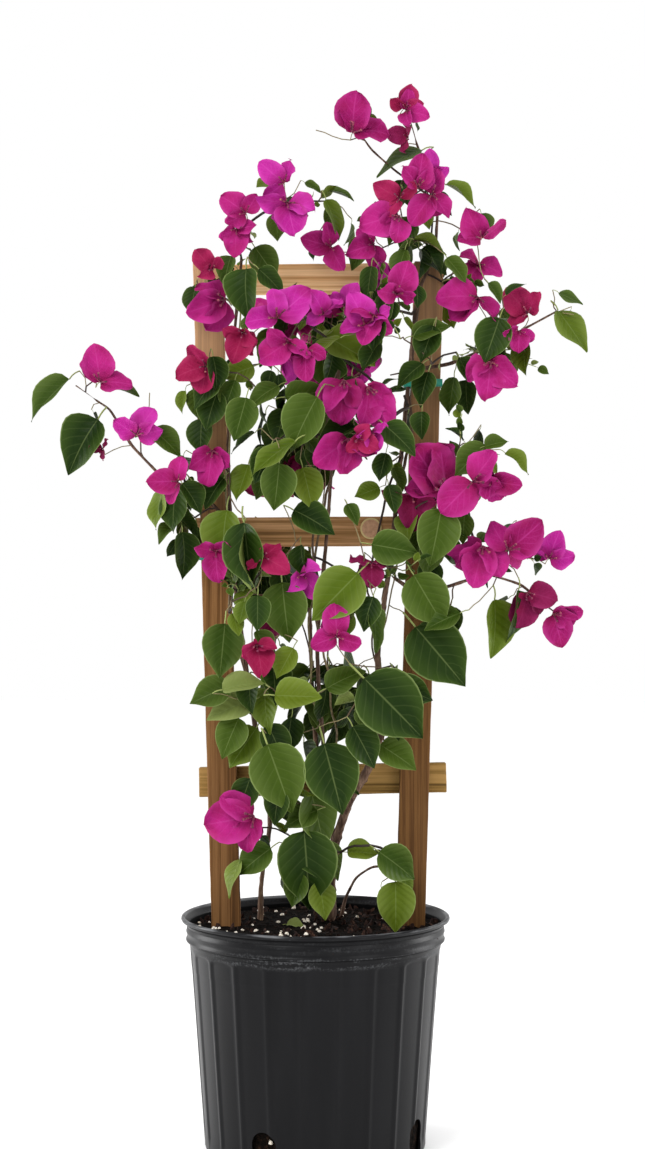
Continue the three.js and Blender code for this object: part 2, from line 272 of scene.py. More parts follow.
# strews shapes over faces, thicker where the faces' own attribute says so
def strewTree():
    tree, add, entry = newTree("strewGrit", [
        ("Shapes", "NodeSocketCollection", None),
        ("Per square metre", "NodeSocketFloat", 1000.0),
        ("Smallest", "NodeSocketFloat", 0.001),
        ("Largest", "NodeSocketFloat", 0.003),
        ("Seed", "NodeSocketInt", 1)])
    thick = add("GeometryNodeInputNamedAttribute", {"data_type": "FLOAT", "Name": "thick"})
    density = add("ShaderNodeMath", {"operation": "MULTIPLY"}, {0: entry["Per square metre"], 1: thick})
    points = add("GeometryNodeDistributePointsOnFaces", {}, {
        "Mesh": entry["Geometry"], "Density": density, "Seed": entry["Seed"]})
    shapes = add("GeometryNodeCollectionInfo", {"Separate Children": True, "Reset Children": True},
                 {"Collection": entry["Shapes"]})
    turn = add("FunctionNodeRandomValue", {"data_type": "FLOAT_VECTOR", 1: (anyTurn, anyTurn, anyTurn)},
               {"Seed": entry["Seed"]})
    turned = add("FunctionNodeEulerToRotation", {}, {"Euler": turn})
    size = add("FunctionNodeRandomValue", {"data_type": "FLOAT"},
               {2: entry["Smallest"], 3: entry["Largest"], "Seed": entry["Seed"]})
    spread = add("GeometryNodeInstanceOnPoints", {"Pick Instance": True},
                 {"Points": points, "Instance": shapes, "Rotation": turned, "Scale": size})
    endTree(add, entry, spread)
    return tree


# runs a mesh through a tree with these inputs and gives the plain mesh that comes out
def runTree(source, tree, values):
    carrier = bpy.data.objects.new("carrier", source)
    modifier = carrier.modifiers.new("nodes", "NODES")
    modifier.node_group = tree
    for item in tree.interface.items_tree:
        if item.item_type == "SOCKET" and item.in_out == "INPUT" and item.name in values:
            modifier[item.identifier] = values[item.name]
    scene.collection.objects.link(carrier)
    result = evaluatedMesh(carrier)
    carrier.modifiers.clear()
    bpy.data.objects.remove(carrier)
    return result


# a collection that only holds shapes for a tree to repeat; it is never part of the scene
def shapeShelf(name, meshes):
    shelf = bpy.data.collections.new(name)
    for i, mesh in enumerate(meshes):
        shelf.objects.link(bpy.data.objects.new(f"{name}{i:02d}", mesh))
    return shelf


def clearShelf(shelf):
    for shape in list(shelf.objects):
        bpy.data.objects.remove(shape)
    bpy.data.collections.remove(shelf)


# points that each take a shape: rows of (place, rotation matrix, size, pick, tint)
def pointsMesh(name, rows):
    mesh = newMesh(name, [row[0] for row in rows], [], [])
    keepAttribute(mesh, "turn", "FLOAT_VECTOR", [c for row in rows for c in row[1].to_euler()])
    for attribute, kind, column in (("size", "FLOAT", 2), ("pick", "INT", 3), ("tint", "FLOAT", 4)):
        keepAttribute(mesh, attribute, kind, [row[column] for row in rows])
    return mesh


# chains of (place, radius, age), as edges for the stem tree
def chainsMesh(name, chains):
    edges = []
    first = 0
    for chain in chains:
        edges += [(i, i + 1) for i in range(first, first + len(chain) - 1)]
        first += len(chain)
    rows = [row for chain in chains for row in chain]
    mesh = newMesh(name, [row[0] for row in rows], edges, [])
    for attribute, column in (("radius", 1), ("age", 2)):
        keepAttribute(mesh, attribute, "FLOAT", [row[column] for row in rows])
    return mesh


studio = {
    "cameraPlace": (0.0074, -2.237, 0.596),   # level with the middle of the frame, looking along +Y
    "lens": 67.1,
    "sensor": 36.0,
    "clipEnd": 60,
    "world": "ffffff",
    "worldStrength": 1.0,
    "floorSide": 16.0,
    "floor": "ffffff",
    "lights": [
        # name, place, aim, side, watts
        ("key", (-1.3, -2.0, 2.3), (0, 0, 0.6), 1.3, 44),
        ("fill", (1.7, -1.7, 1.3), (0, 0, 0.5), 1.2, 15),
        ("rimLeft", (-1.6, 0.5, 0.5), (0, 0, 0.3), 0.7, 18),
        ("rimRight", (1.6, 0.5, 0.5), (0, 0, 0.3), 0.7, 14),
    ],
}


def makeStudio():
    lens = bpy.data.cameras.new("camera")
    lens.sensor_width = studio["sensor"]
    lens.lens = studio["lens"]
    lens.clip_end = studio["clipEnd"]
    camera = addObject("camera", lens)
    camera.location = studio["cameraPlace"]
    camera.rotation_euler = (math.pi / 2, 0, 0)
    scene.camera = camera
    for name, place, aim, side, watts in studio["lights"]:
        light = bpy.data.lights.new(name, "AREA")
        light.size = side
        light.energy = watts
        lamp = addObject(name, light)
        lamp.location = place
        lamp.rotation_euler = (Vector(aim) - Vector(place)).to_track_quat("-Z", "Y").to_euler()
    world = bpy.data.worlds.new("studio")
    world.use_nodes = True
    world.node_tree.nodes["Background"].inputs["Color"].default_value = linear(studio["world"])
    world.node_tree.nodes["Background"].inputs["Strength"].default_value = studio["worldStrength"]
    scene.world = world
    scene.view_settings.view_transform = "Standard"   # keeps the magenta clean and the background white
    half = studio["floorSide"] / 2
    mesh = newMesh("floor", [(-half, -half, 0), (half, -half, 0), (half, half, 0), (-half, half, 0)], [],
                   [(0, 1, 2, 3)])
    paper, _, _ = newMaterial("pale matt studio paper",
                              {"Roughness": 0.9, "Base Color": linear(studio["floor"])})
    mesh.materials.append(paper)
    addObject("floor", mesh)
    print("studio: camera, floor and", len(studio["lights"]), "lights")


potLow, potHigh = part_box("pot")
pot = {
    "height": potHigh.z,
    "lipRadius": (potHigh.x - potLow.x) / 2,
    "wallFootRadius": 115 * mm,
    "wallTopRadius": 130.9 * mm,
    "wallTop": 212 * mm,
    "bandRadius": 134 * mm,
    "wall": 2.2 * mm,
    "wobble": 0.35 * mm,     # thin plastic is never quite round
    # the base: mm inwards from the wall's foot, mm up
    "base": [(22, 1.5), (20, 0), (4, 0), (1, 1)],
    # the step out to the band, its beads and the neck: mm outwards from the band, mm below the top
    "band": [(-2.2, 26.4), (-0.4, 25.7), (0.8, 24.7), (1.0, 23.8), (0.6, 22.8), (-0.2, 21.6), (-0.1, 17.4),
             (0.6, 16.2), (0.8, 15.2), (0.3, 14), (0.1, 11.6), (-0.6, 10.4), (0.2, 8.8), (1.4, 7.2)],
    # the rolled lip: mm inwards from its edge, mm below the top
    "lip": [(2.6, 5.4), (0.7, 4.2), (0, 2.6), (0.5, 0.9), (1.8, 0), (3.6, 0.6), (4.6, 2.6)],
    # the inside of the band: mm outwards from the wall's inner face, mm below the top
    "lining": [(0.4, 6), (-0.8, 10), (0.4, 14), (-0.5, 18), (0.2, 22), (-0.4, 29)],
    "insideHeights": (150, 100, 60, 45, 30, 15, 4),
    "panels": 22,
    "firstRib": -6.0,        # degrees from the front, towards the right
    "ribShare": 0.10,        # of half a panel
    "recess": 1.5 * mm,
    "panelTop": 209 * mm,
    "scallop": 5 * mm,
    "panelFoot": 9 * mm,
    "columns": 16,           # to each panel
    "rowStep": 7 * mm,
    "fineStep": 1.6 * mm,
    "dust": [(0.203, 0.211), (0.215, 0.222)],    # heights between which it comes, and goes
    "drains": 4,
    "drainTurn": -26.5,
    "drainWidth": 27 * mm,
    "drainHeight": 40 * mm,
    "drainSteps": 14,
    "drainCut": (-0.101, -0.128),
}


def potPlastic():
    # blow-moulded black polyethylene: satin, a little blue, with dry dust below the band and on the lip
    material, add, place = newMaterial("moulded black polyethylene",
                                       {"Roughness": 0.3, "IOR": 1.51, "Specular IOR Level": 0.12})
    height = add("ShaderNodeSeparateXYZ", {}, {0: place}).outputs["Z"]
    # broad streaks that run down the wall, about 25 mm wide
    down = add("ShaderNodeMapping", {"Scale": (40, 40, 3)}, {"Vector": place})
    streaks = add("ShaderNodeTexNoise", {"Scale": 1.0, "Detail": 3}, {"Vector": down})
    black = add("ShaderNodeValToRGB", {"stops": [(0.3, "08080a"), (0.7, "111113")]}, {"Fac": streaks})
    # dust: grains near 1 mm in patches near 12 mm, thickest on the step under the band
    grains = add("ShaderNodeTexNoise", {"Scale": 420, "Detail": 4, "Roughness": 0.7}, {"Vector": place})
    level = add("ShaderNodeMapping", {"Scale": (22, 22, 220)}, {"Vector": place})
    patches = add("ShaderNodeTexNoise", {"Scale": 1.0, "Detail": 3}, {"Vector": level})
    (comes, full), (fades, gone) = pot["dust"]
    below = add("ShaderNodeMapRange", {"interpolation_type": "SMOOTHSTEP", 1: comes, 2: full}, {0: height})
    above = add("ShaderNodeMapRange",
                {"interpolation_type": "SMOOTHSTEP", 1: fades, 2: gone, 3: 1.0, 4: 0.22}, {0: height})
    band = add("ShaderNodeMath", {"operation": "MULTIPLY"}, {0: below, 1: above})
    both = add("ShaderNodeMath", {"operation": "MULTIPLY"}, {0: grains, 1: patches})
    cut = add("ShaderNodeMapRange", {1: 0.27, 2: 0.46}, {0: both})
    dust = add("ShaderNodeMath", {"operation": "MULTIPLY"}, {0: cut, 1: band})
    faint = add("ShaderNodeMath", {"operation": "MULTIPLY", 1: 0.4}, {0: dust})
    # the rolled edge is painted pale in patches: partly rubbed by handling, partly a painted highlight along
    # the rim
    edge = add("ShaderNodeMapRange", {1: pot["height"] - 3 * mm, 2: pot["height"] - 1.4 * mm}, {0: height})
    worn = add("ShaderNodeMapRange", {1: 0.42, 2: 0.62, 4: 0.5}, {0: patches})
    rimWearAndHighlight = add("ShaderNodeMath", {"operation": "MULTIPLY"}, {0: edge, 1: worn})
    pale = add("ShaderNodeMath", {"operation": "MAXIMUM"}, {0: faint, 1: rimWearAndHighlight})
    colour = add("ShaderNodeMix", {"data_type": "RGBA", 7: linear("8d8f92")}, {0: pale, 6: black})
    # the inside of the wall is duller than the outside, and painted darker as the shade inside the pot
    normal = add("ShaderNodeNewGeometry").outputs["Normal"]
    facing = add("ShaderNodeVectorMath", {"operation": "DOT_PRODUCT"}, {0: normal, 1: place})
    inside = add("ShaderNodeMapRange", {1: -0.03, 2: -0.09}, {0: facing})
    withPaintedShade = add("ShaderNodeMix", {"data_type": "RGBA", 7: linear("060607")}, {0: inside, 6: colour})
    dusty = add("ShaderNodeMapRange", {3: 0.36, 4: 0.8}, {0: dust})
    rough = add("ShaderNodeMath", {"operation": "MAXIMUM"}, {0: dusty, 1: inside})
    bump = add("ShaderNodeBump", {"Strength": 0.15, "Distance": 0.0004}, {"Height": grains})
    return finished(material, {"Base Color": withPaintedShade, "Roughness": rough, "Normal": bump})


# how far the wall is pressed in at an angle and a height: shallow panels with rounded tops
# between narrow upright ribs
def panelDepth(angle, z):
    turn = (angle - math.radians(pot["firstRib"])) * pot["panels"] / math.tau
    across = abs((turn % 1) * 2 - 1)             # 1 on a rib, 0 in the middle of a panel
    fromRib = smoothStep(pot["ribShare"] * 0.3, pot["ribShare"] * 2.2, 1 - across)
    top = pot["panelTop"] - pot["scallop"] * across ** 3
    fromTop = smoothStep(0, 4 * mm, top - z)
    fromFoot = smoothStep(0, 5 * mm, z - pot["panelFoot"])
    return pot["recess"] * fromRib * fromTop * fromFoot


def potMesh():
    foot = pot["wallFootRadius"]
    slope = (pot["wallTopRadius"] - foot) / pot["wallTop"]
    band = pot["bandRadius"]
    lip = pot["lipRadius"]
    top = pot["height"]
    wall = pot["wall"]
    step = pot["rowStep"]
    outer = [(foot - inwards * mm, up * mm) for inwards, up in pot["base"]]
    rows = int((pot["panelTop"] - 26 * mm) / step)
    outer += [(foot + slope * i * step, i * step + 4 * mm) for i in range(rows + 1)]
    z = outer[-1][1]
    while z < pot["wallTop"] - 2 * mm:
        z += pot["fineStep"]
        outer.append((foot + slope * z, z))
    outer += [(foot + slope * (top - below * mm), top - below * mm) for below in (28.6, 27.4)]
    outer += [(band + out * mm, top - below * mm) for out, below in pot["band"]]
    outer += [(lip - inwards * mm, top - below * mm) for inwards, below in pot["lip"]]
    outer += [(band - wall + out * mm, top - below * mm) for out, below in pot["lining"]]
    inset = 1.4 * mm
    floor = foot - 40 * mm
    middle = 20 * mm
    inner = [(pot["wallTopRadius"] - wall - inset, pot["wallTop"] - 4 * mm)]
    inner += [(foot + slope * z * mm - wall - inset, z * mm) for z in pot["insideHeights"]]
    inner += [(foot - 8 * mm, 3 * mm), (floor, 3 * mm), (middle, 3 * mm)]
    start = [(middle, 1.5 * mm), (floor, 1.5 * mm)]
    rings = []
    for part, pressed in ((start, False), (outer, True), (inner, False)):
        for radius, z in part:
            ring = []
            for angle in roundTurn(pot["panels"] * pot["columns"]):
                spot = Vector((math.sin(angle) * 1.3, math.cos(angle) * 1.3, z * 6))
                r = radius + pot["wobble"] * noise.noise(spot)
                if pressed and foot - 2 * mm < radius < pot["wallTopRadius"] + 1 * mm:
                    r -= panelDepth(angle, z)
                ring.append(Vector((r * math.sin(angle), -r * math.cos(angle), z)))
            rings.append(ring)
    return facedOut(ringMesh("pot", rings))


# one arched cutter for a drain hole, from inside the wall to well outside it
def drainCutter(angle):
    half = pot["drainWidth"] / 2
    arch = [Vector((-half, 0, -3 * mm)), Vector((half, 0, -3 * mm))]
    for i in range(pot["drainSteps"] + 1):
        turn = math.pi * i / pot["drainSteps"]
        arch.append(Vector((half * math.cos(turn), 0, pot["drainHeight"] - half + half * math.sin(turn))))
    spin = Matrix.Rotation(angle, 3, "Z")
    rings = [[spin @ (p + Vector((0, y, 0))) for p in arch] for y in pot["drainCut"]]
    return facedOut(ringMesh("drain", rings))


def makePot():
    body = addObject("potBody", potMesh())
    cutters = []
    for i in range(pot["drains"]):
        cutter = addObject(f"drain{i}", drainCutter(math.radians(pot["drainTurn"] + 360 / pot["drains"] * i)))
        cutters.append(cutter)
        boolean = body.modifiers.new(f"drain{i}", "BOOLEAN")
        boolean.operation = "DIFFERENCE"
        boolean.solver = "EXACT"
        boolean.object = cutter
    mesh = evaluatedMesh(body)
    for helper in [body] + cutters:
        bpy.data.objects.remove(helper)
    addPiece("nursery_pot", mesh, potPlastic(), ["pot"], crease=50)


soilLow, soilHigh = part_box("soil")
soil = {
    "top": soilHigh.z,
    "radius": (soilHigh.x - soilLow.x) / 2 - 1.5 * mm,
    "rings": 44,
    "columns": 120,
    "sideHeights": (4 * mm, 12 * mm, 20 * mm, 28 * mm, 36 * mm, 60 * mm, 110 * mm, 170 * mm,
                    soilHigh.z - 22 * mm),
    "lumps": 3.2 * mm,
    "smallLumps": 1.4 * mm,
    "mound": 3 * mm,         # the mix is heaped up round each stem
    "moundWidth": 16 * mm,
    "settled": 1.2 * mm,
    "perlite": {"perSquareMetre": 4600.0, "size": (1.3 * mm, 3.4 * mm), "seed": 5},
    "bark": {"perSquareMetre": 6500.0, "size": (2.5 * mm, 7 * mm), "seed": 8},
}


def soilMix():
    # composted bark and peat: nearly black, damp, in crumbs of 1 to 4 mm
    material, add, place = newMaterial("damp peat and bark", {"Roughness": 0.95, "Specular IOR Level": 0.04})
    crumbs = add("ShaderNodeTexVoronoi", {"Scale": 330}, {"Vector": place})
    fine = add("ShaderNodeTexNoise", {"Scale": 160, "Detail": 6, "Roughness": 0.75}, {"Vector": place})
    colour = add("ShaderNodeValToRGB", {"stops": [
        (0.3, "030202"), (0.5, "0b0806"), (0.64, "20150f"), (0.76, "4e3827")]}, {"Fac": fine})
    bump = add("ShaderNodeBump", {"Strength": 0.9, "Distance": 0.002}, {"Height": crumbs})
    return finished(material, {"Base Color": colour, "Normal": bump})


# puffed volcanic glass: chalk white with tiny pores, a little soiled
def perliteStone():
    return speckled("puffed perlite", {"Roughness": 0.9}, 700, 3,
                    [(0.35, "a8977f"), (0.5, "e6ddcd"), (0.65, "fbf7ee")])


# shredded bark: reddish brown, dry, with fibres near 4 mm
def barkChip():
    return speckled("shredded bark", {"Roughness": 0.9, "Specular IOR Level": 0.2}, 240, 4,
                    [(0.3, "0c0706"), (0.55, "27150f"), (0.75, "563c2e")])


def soilHeight(x, y):
    spot = Vector((x * 55, y * 55, 0.3))
    rise = soil["lumps"] * noise.noise(spot) + soil["smallLumps"] * noise.noise(spot * 4.1)
    for foot in ("trunk", "stem_left"):
        low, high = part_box(foot)
        away = math.hypot(x - low.x, y - high.y)
        rise += soil["mound"] * math.exp(-(away / soil["moundWidth"]) ** 2)
    return soil["top"] + rise - soil["settled"]


def soilMesh():
    foot = pot["wallFootRadius"] - pot["wall"] - 3 * mm
    slope = (pot["wallTopRadius"] - pot["wallFootRadius"]) / pot["wallTop"]
    rings = [(foot + slope * z - 0.6 * mm, z) for z in soil["sideHeights"]]
    rings += [(soil["radius"] * i / soil["rings"], None) for i in range(soil["rings"], 0, -1)]
    loops = []
    for radius, z in rings:
        loop = []
        for angle in roundTurn(soil["columns"]):
            x, y = radius * math.sin(angle), -radius * math.cos(angle)
            if z is None:
                loop.append(Vector((x, y, soilHeight(x, y))))
            else:
                dent = 1 + 0.008 * noise.noise(Vector((x, y, z)) * 90)
                loop.append(Vector((x * dent, y * dent, z)))
        loops.append(loop)
    return facedOut(ringMesh("soil", loops))


# a rough stone or chip: a jittered ball, flattened and stretched
def crumb(name, seed, stretch):
    work = bmesh.new()
    bmesh.ops.create_icosphere(work, subdivisions=1, radius=1)
    draw = random.Random(seed)
    for v in work.verts:
        v.co *= draw.uniform(0.72, 1.15)
        v.co = Vector((v.co.x * stretch[0], v.co.y * stretch[1], v.co.z * stretch[2]))
    return workMesh(name, work)


# how thick perlite lies: most at the front left, some showing through the drain holes
def perliteThick(p):
    if p.z < soil["top"] - 8 * mm:
        return 0.35 if p.z < 60 * mm else 0.0
    left = 1 - smoothStep(0.0, 0.05, p.x)
    front = 1 - smoothStep(0.0, 0.05, p.y)
    return 0.12 + left * (0.12 + front * smoothStep(-0.1, 0.4, noise.noise(p * 38)))


# how thick bark lies: on the top only, most on the right
def barkThick(p):
    if p.z < soil["top"] - 8 * mm:
        return 0.0
    return 0.5 + 0.65 * smoothStep(-0.01, 0.06, p.x)


def makeSoil(strew):
    mesh = soilMesh()
    perlite = shapeShelf("perlite", [crumb("perlite", seed, (1, 1, 0.85)) for seed in (3, 4, 5)])
    bark = shapeShelf("barkChip", [crumb("bark", seed, (1.3, 0.55, 0.25)) for seed in (7, 8, 9)])
    strewn = []
    for name, shelf, thickness, grit, material in (
            ("perlite", perlite, perliteThick, soil["perlite"], perliteStone()),
            ("bark_chips", bark, barkThick, soil["bark"], barkChip())):
        bed = mesh.copy()
        keepAttribute(bed, "thick", "FLOAT", [thickness(v.co) for v in bed.vertices])
        strewn.append((name, runTree(bed, strew, {
            "Shapes": shelf, "Per square metre": grit["perSquareMetre"], "Smallest": grit["size"][0],
            "Largest": grit["size"][1], "Seed": grit["seed"], "Material": material}), material))
        clearShelf(shelf)
    addPiece("potting_mix", mesh, soilMix(), ["soil"], crease=180)
    for name, pieces, material in strewn:
        addPiece(name, pieces, material, ["soil"], crease=60)


# Each board: the hex colours of its pale wood, dark wood and streaks, the axis of its grain,
# the spacing of its grain lines in mm, and how far its top is mixed towards a paler grey-beige
boards = {
    "upright_left": ("865f38", "6c4825", "503419", "z", 4.0, 0.5),
    "upright_right": ("714e29", "5a3a1b", "422a12", "z", 4.0, 0.32),
    "rung_low": ("9c7a46", "7f6130", "523c1a", "x", 5.2, 0),
    "rung_middle": ("d2a374", "a87c4f", "735331", "x", 5.5, 0),
    "rung_top": ("eac596", "cd9f6a", "a77a4b", "x", 6.5, 0),
}
board = {"bevel": 1.1 * mm, "unevenness": 0.35 * mm, "cut": 9 * mm, "rounds": 7, "topPale": "c09c78"}
plug = {"sides": 40, "pale": "dcc78c", "rim": (2.2 * mm, 1.2 * mm)}


def boardWood(name, pale, dark, streak, axis, spacing, topPaling):
    # sawn softwood, stained: long grain and darker late-wood lines
    material, add, place = newMaterial(f"stained sawn pine {name}",
                                       {"Roughness": 0.75, "Specular IOR Level": 0.16})
    along, acrossGrain = 3.5, 1000 / spacing
    scale = (acrossGrain, acrossGrain, along) if axis == "z" else (along, acrossGrain, acrossGrain)
    long = add("ShaderNodeMapping", {"Scale": scale}, {"Vector": place})
    grain = add("ShaderNodeTexNoise", {"Scale": 1.0, "Detail": 3, "Roughness": 0.55, "Distortion": 0.2},
                {"Vector": long})
    fibre = add("ShaderNodeMapping", {"Scale": [c * 4 for c in scale]}, {"Vector": place})
    fine = add("ShaderNodeTexNoise", {"Scale": 1.0, "Detail": 2}, {"Vector": fibre})
    broad = add("ShaderNodeTexNoise", {"Scale": 14, "Detail": 2}, {"Vector": place})
    ground = add("ShaderNodeValToRGB", {"stops": [(0.28, streak), (0.42, dark), (0.56, pale), (0.74, dark)]},
                 {"Fac": grain})
    fibres = add("ShaderNodeMapRange", {3: 0.78, 4: 1.18}, {0: fine})
    tones = add("ShaderNodeMapRange", {3: 0.85, 4: 1.17}, {0: broad})
    # an upright is darker towards its foot and paler towards its top
    height = add("ShaderNodeSeparateXYZ", {}, {0: place}).outputs["Z"]
    footTone, topTone = (0.82, 1.25) if axis == "z" else (1.0, 1.0)
    damp = add("ShaderNodeMapRange", {1: 0.3, 2: 0.9, 3: footTone, 4: topTone}, {0: height})
    both = add("ShaderNodeMath", {"operation": "MULTIPLY"}, {0: fibres, 1: tones})
    shade = add("ShaderNodeMath", {"operation": "MULTIPLY"}, {0: both, 1: damp})
    topShare = add("ShaderNodeMapRange", {1: 0.6, 2: 0.87, 4: topPaling}, {0: height})
    paledTop = add("ShaderNodeMix", {"data_type": "RGBA", 7: linear(board["topPale"])}, {0: topShare, 6: ground})
    colour = add("ShaderNodeMix", {"data_type": "RGBA", "blend_type": "MULTIPLY", 0: 1.0},
                 {6: paledTop, 7: shade})
    bump = add("ShaderNodeBump", {"Strength": 0.35, "Distance": 0.0006}, {"Height": fine})
    return finished(material, {"Base Color": colour, "Normal": bump})


# a board from its CAD node: merged, its edges rubbed round, its faces cut finer and a little uneven
def boardMesh(node):
    work = bmesh.new()
    work.from_mesh(frame["nodes"][node].data)
    bmesh.ops.remove_doubles(work, verts=work.verts, dist=1e-5)
    bmesh.ops.dissolve_limit(work, angle_limit=math.radians(2), verts=work.verts, edges=work.edges)
    bmesh.ops.bevel(work, geom=work.edges[:], offset=board["bevel"], segments=2, profile=0.5, affect="EDGES")
    bmesh.ops.triangulate(work, faces=work.faces[:])
    for _ in range(board["rounds"]):
        long = [e for e in work.edges if e.calc_length() > board["cut"]]
        if long:
            bmesh.ops.subdivide_edges(work, edges=long, cuts=1, use_grid_fill=False)
            bmesh.ops.triangulate(work, faces=work.faces[:])
    for v in work.verts:
        drift = [noise.noise(v.co * 60 + Vector(shift)) for shift in ((0, 0, 0), (9, 0, 0), (0, 9, 0))]
        v.co += Vector(drift) * board["unevenness"]
    return workMesh(node, work)


def plugWood():
    # end grain of a turned plug: a pale, freshly cut rim round its face
    low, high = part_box("rung_plug")
    material, add, place = newMaterial("turned end grain", {"Roughness": 0.65, "Specular IOR Level": 0.3})
    centred = add("ShaderNodeVectorMath", {"operation": "SUBTRACT", 1: (low + high) / 2}, {0: place})
    flat = add("ShaderNodeVectorMath", {"operation": "MULTIPLY", 1: (1, 0, 1)}, {0: centred})
    away = add("ShaderNodeVectorMath", {"operation": "LENGTH"}, {0: flat})
    speck = add("ShaderNodeTexNoise", {"Scale": 260, "Detail": 3}, {"Vector": place})
    face = add("ShaderNodeValToRGB", {"stops": [(0.3, "b98a68"), (0.6, "d3a583")]}, {"Fac": speck})
    half = (high.x - low.x) / 2
    rim = add("ShaderNodeMapRange", {1: half - plug["rim"][0], 2: half - plug["rim"][1]}, {0: away})
    colour = add("ShaderNodeMix", {"data_type": "RGBA", 7: linear(plug["pale"])}, {0: rim, 6: face})
    return finished(material, {"Base Color": colour})


# stretchy vinyl garden tape: teal green, satin, with a soft crinkle 3 mm long
def tieTape():
    return speckled("vinyl garden tape", {"Roughness": 0.4}, 300, 2, [(0.3, "0f6f5c"), (0.7, "1f9a80")],
                    bump=(0.3, 0.0005))


# the disc on the middle rung, as a turned button with a rounded edge
def plugDisc():
    low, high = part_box("rung_plug")
    middle = (low + high) / 2
    radius = (high.x - low.x) / 2
    rings = []
    for r, y in ((radius, high.y), (radius, low.y + 1.2 * mm), (radius - 0.4 * mm, low.y + 0.4 * mm),
                 (radius - 1.3 * mm, low.y), (radius * 0.5, low.y - 0.1 * mm)):
        rings.append([Vector((middle.x + r * math.cos(a), y, middle.z + r * math.sin(a)))
                      for a in roundTurn(plug["sides"])])
    return facedOut(ringMesh("disc", rings))


def makeTrellis():
    for node, look in boards.items():
        addPiece(f"{node}_board", boardMesh(node), boardWood(node, *look), [node])
    addPiece("rung_plug_disc", plugDisc(), plugWood(), ["rung_plug"], crease=30)
    tape = tieTape()
    for node in ("tie_left", "tie_right"):
        frame["nodes"][node].data.materials.clear()
        frame["nodes"][node].data.materials.append(tape)


limbNames = ["trunk", "bough_right", "bough_left", "bough_centre", "bough_back", "bough_top", "shoot_top",
             "reach_left", "reach_right_low", "reach_right_top", "shoot_low"]
limb = {
    "slice": 6 * mm,
    "endInset": 0.4 * mm,
    "step": 3 * mm,
    "sides": 14,
    "root": 7 * mm,          # how far a foot runs on into what carries it
    "reach": 22 * mm,        # how far a tip runs on into its foliage
    "ridge": 0.13,           # of the radius
    "knot": 0.30,
    "knotSpacing": (20 * mm, 42 * mm),
    "knotWidth": 2.6 * mm,
    "knotReach": 8 * mm,
    "thinnest": 0.9 * mm,
    "slim": 0.78,            # boughs without their ridges
    "barkSeed": 10,
    "stemSeed": 40,
}


# the centreline of a CAD limb from foot to tip, as (place, radius), from slices across its length
def limbLine(name):
    mesh = frame["nodes"][name].data
    points = np.array([v.co for v in mesh.vertices])
    middle = points.mean(0)
    axis = np.linalg.svd(points - middle)[2][0]
    along = (points - middle) @ axis
    edges = [(e.vertices[0], e.vertices[1]) for e in mesh.edges]
    inset = limb["endInset"]
    count = max(3, int((along.max() - along.min()) / limb["slice"]))
    line = []
    for i in range(count + 1):
        level = along.min() + inset + (along.max() - along.min() - 2 * inset) * i / count
        cut = []
        for a, b in edges:
            if (along[a] - level) * (along[b] - level) < 0:
                share = (level - along[a]) / (along[b] - along[a])
                cut.append(points[a] + (points[b] - points[a]) * share)
        cut = np.array(cut)
        centre = (cut.min(0) + cut.max(0)) / 2
        line.append((Vector(centre), float(np.linalg.norm(cut - centre, axis=1).mean())))
    if line[0][1] < line[-1][1]:
        line.reverse()
    return line


# the same line evenly stepped, run on at both ends so that limbs join and tips end in leaves
def limbCourse(name):
    line = limbLine(name)
    back = (line[0][0] - line[2][0]).normalized()
    on = (line[-1][0] - line[-3][0]).normalized()
    line.insert(0, (line[0][0] + back * limb["root"], line[0][1]))
    line.append((line[-1][0] + on * limb["reach"], limb["thinnest"]))
    course = []
    for (a, ra), (b, rb) in zip(line, line[1:]):
        steps = max(1, round((b - a).length / limb["step"]))
        course += [(a.lerp(b, i / steps), ra + (rb - ra) * i / steps) for i in range(steps)]
    course.append(line[-1])
    for _ in range(3):
        inner = [(a[0] + b[0] * 2 + c[0]) / 4 for a, b, c in zip(course, course[1:], course[2:])]
        course = [course[0]] + [(p, r) for p, (_, r) in zip(inner, course[1:])] + [course[-1]]
    return course


# a limb with long bark ridges and a swollen knot at every old leaf joint
def barkTube(course, seed):
    draw = random.Random(seed)
    knots = []
    reached = draw.uniform(*limb["knotSpacing"])
    total = sum((b[0] - a[0]).length for a, b in zip(course, course[1:]))
    while reached < total:
        knots.append((reached, draw.uniform(0, math.tau)))
        reached += draw.uniform(*limb["knotSpacing"])
    side = Vector((0.3, 1, 0.1))
    run = 0
    rings = []
    for i, (place, radius) in enumerate(course):
        ahead = course[min(i + 1, len(course) - 1)][0] - course[max(i - 1, 0)][0]
        heading = ahead.normalized()
        side = (side - heading * side.dot(heading)).normalized()
        other = heading.cross(side)
        if i:
            run += (place - course[i - 1][0]).length
        near = [(at, facing) for at, facing in knots if abs(run - at) < limb["knotReach"]]
        ring = []
        for angle in roundTurn(limb["sides"]):
            x, y = math.cos(angle), math.sin(angle)
            swell = 1 + limb["ridge"] * 1.6 * noise.noise(Vector((x * 1.6, y * 1.6, run * 28 + seed)))
            swell += limb["ridge"] * noise.noise(Vector((x * 4, y * 4, run * 160)))
            for at, facing in near:
                lobe = 0.6 + 0.4 * math.cos(angle - facing)
                swell += limb["knot"] * lobe * math.exp(-((run - at) / limb["knotWidth"]) ** 2)
            ring.append(place + (side * x + other * y) * radius * swell)
        rings.append(ring)
    return ringMesh("limb", rings)


def joinedMesh(name, meshes):
    work = bmesh.new()
    for mesh in meshes:
        work.from_mesh(mesh)
    bmesh.ops.recalc_face_normals(work, faces=work.faces)
    return workMesh(name, work)


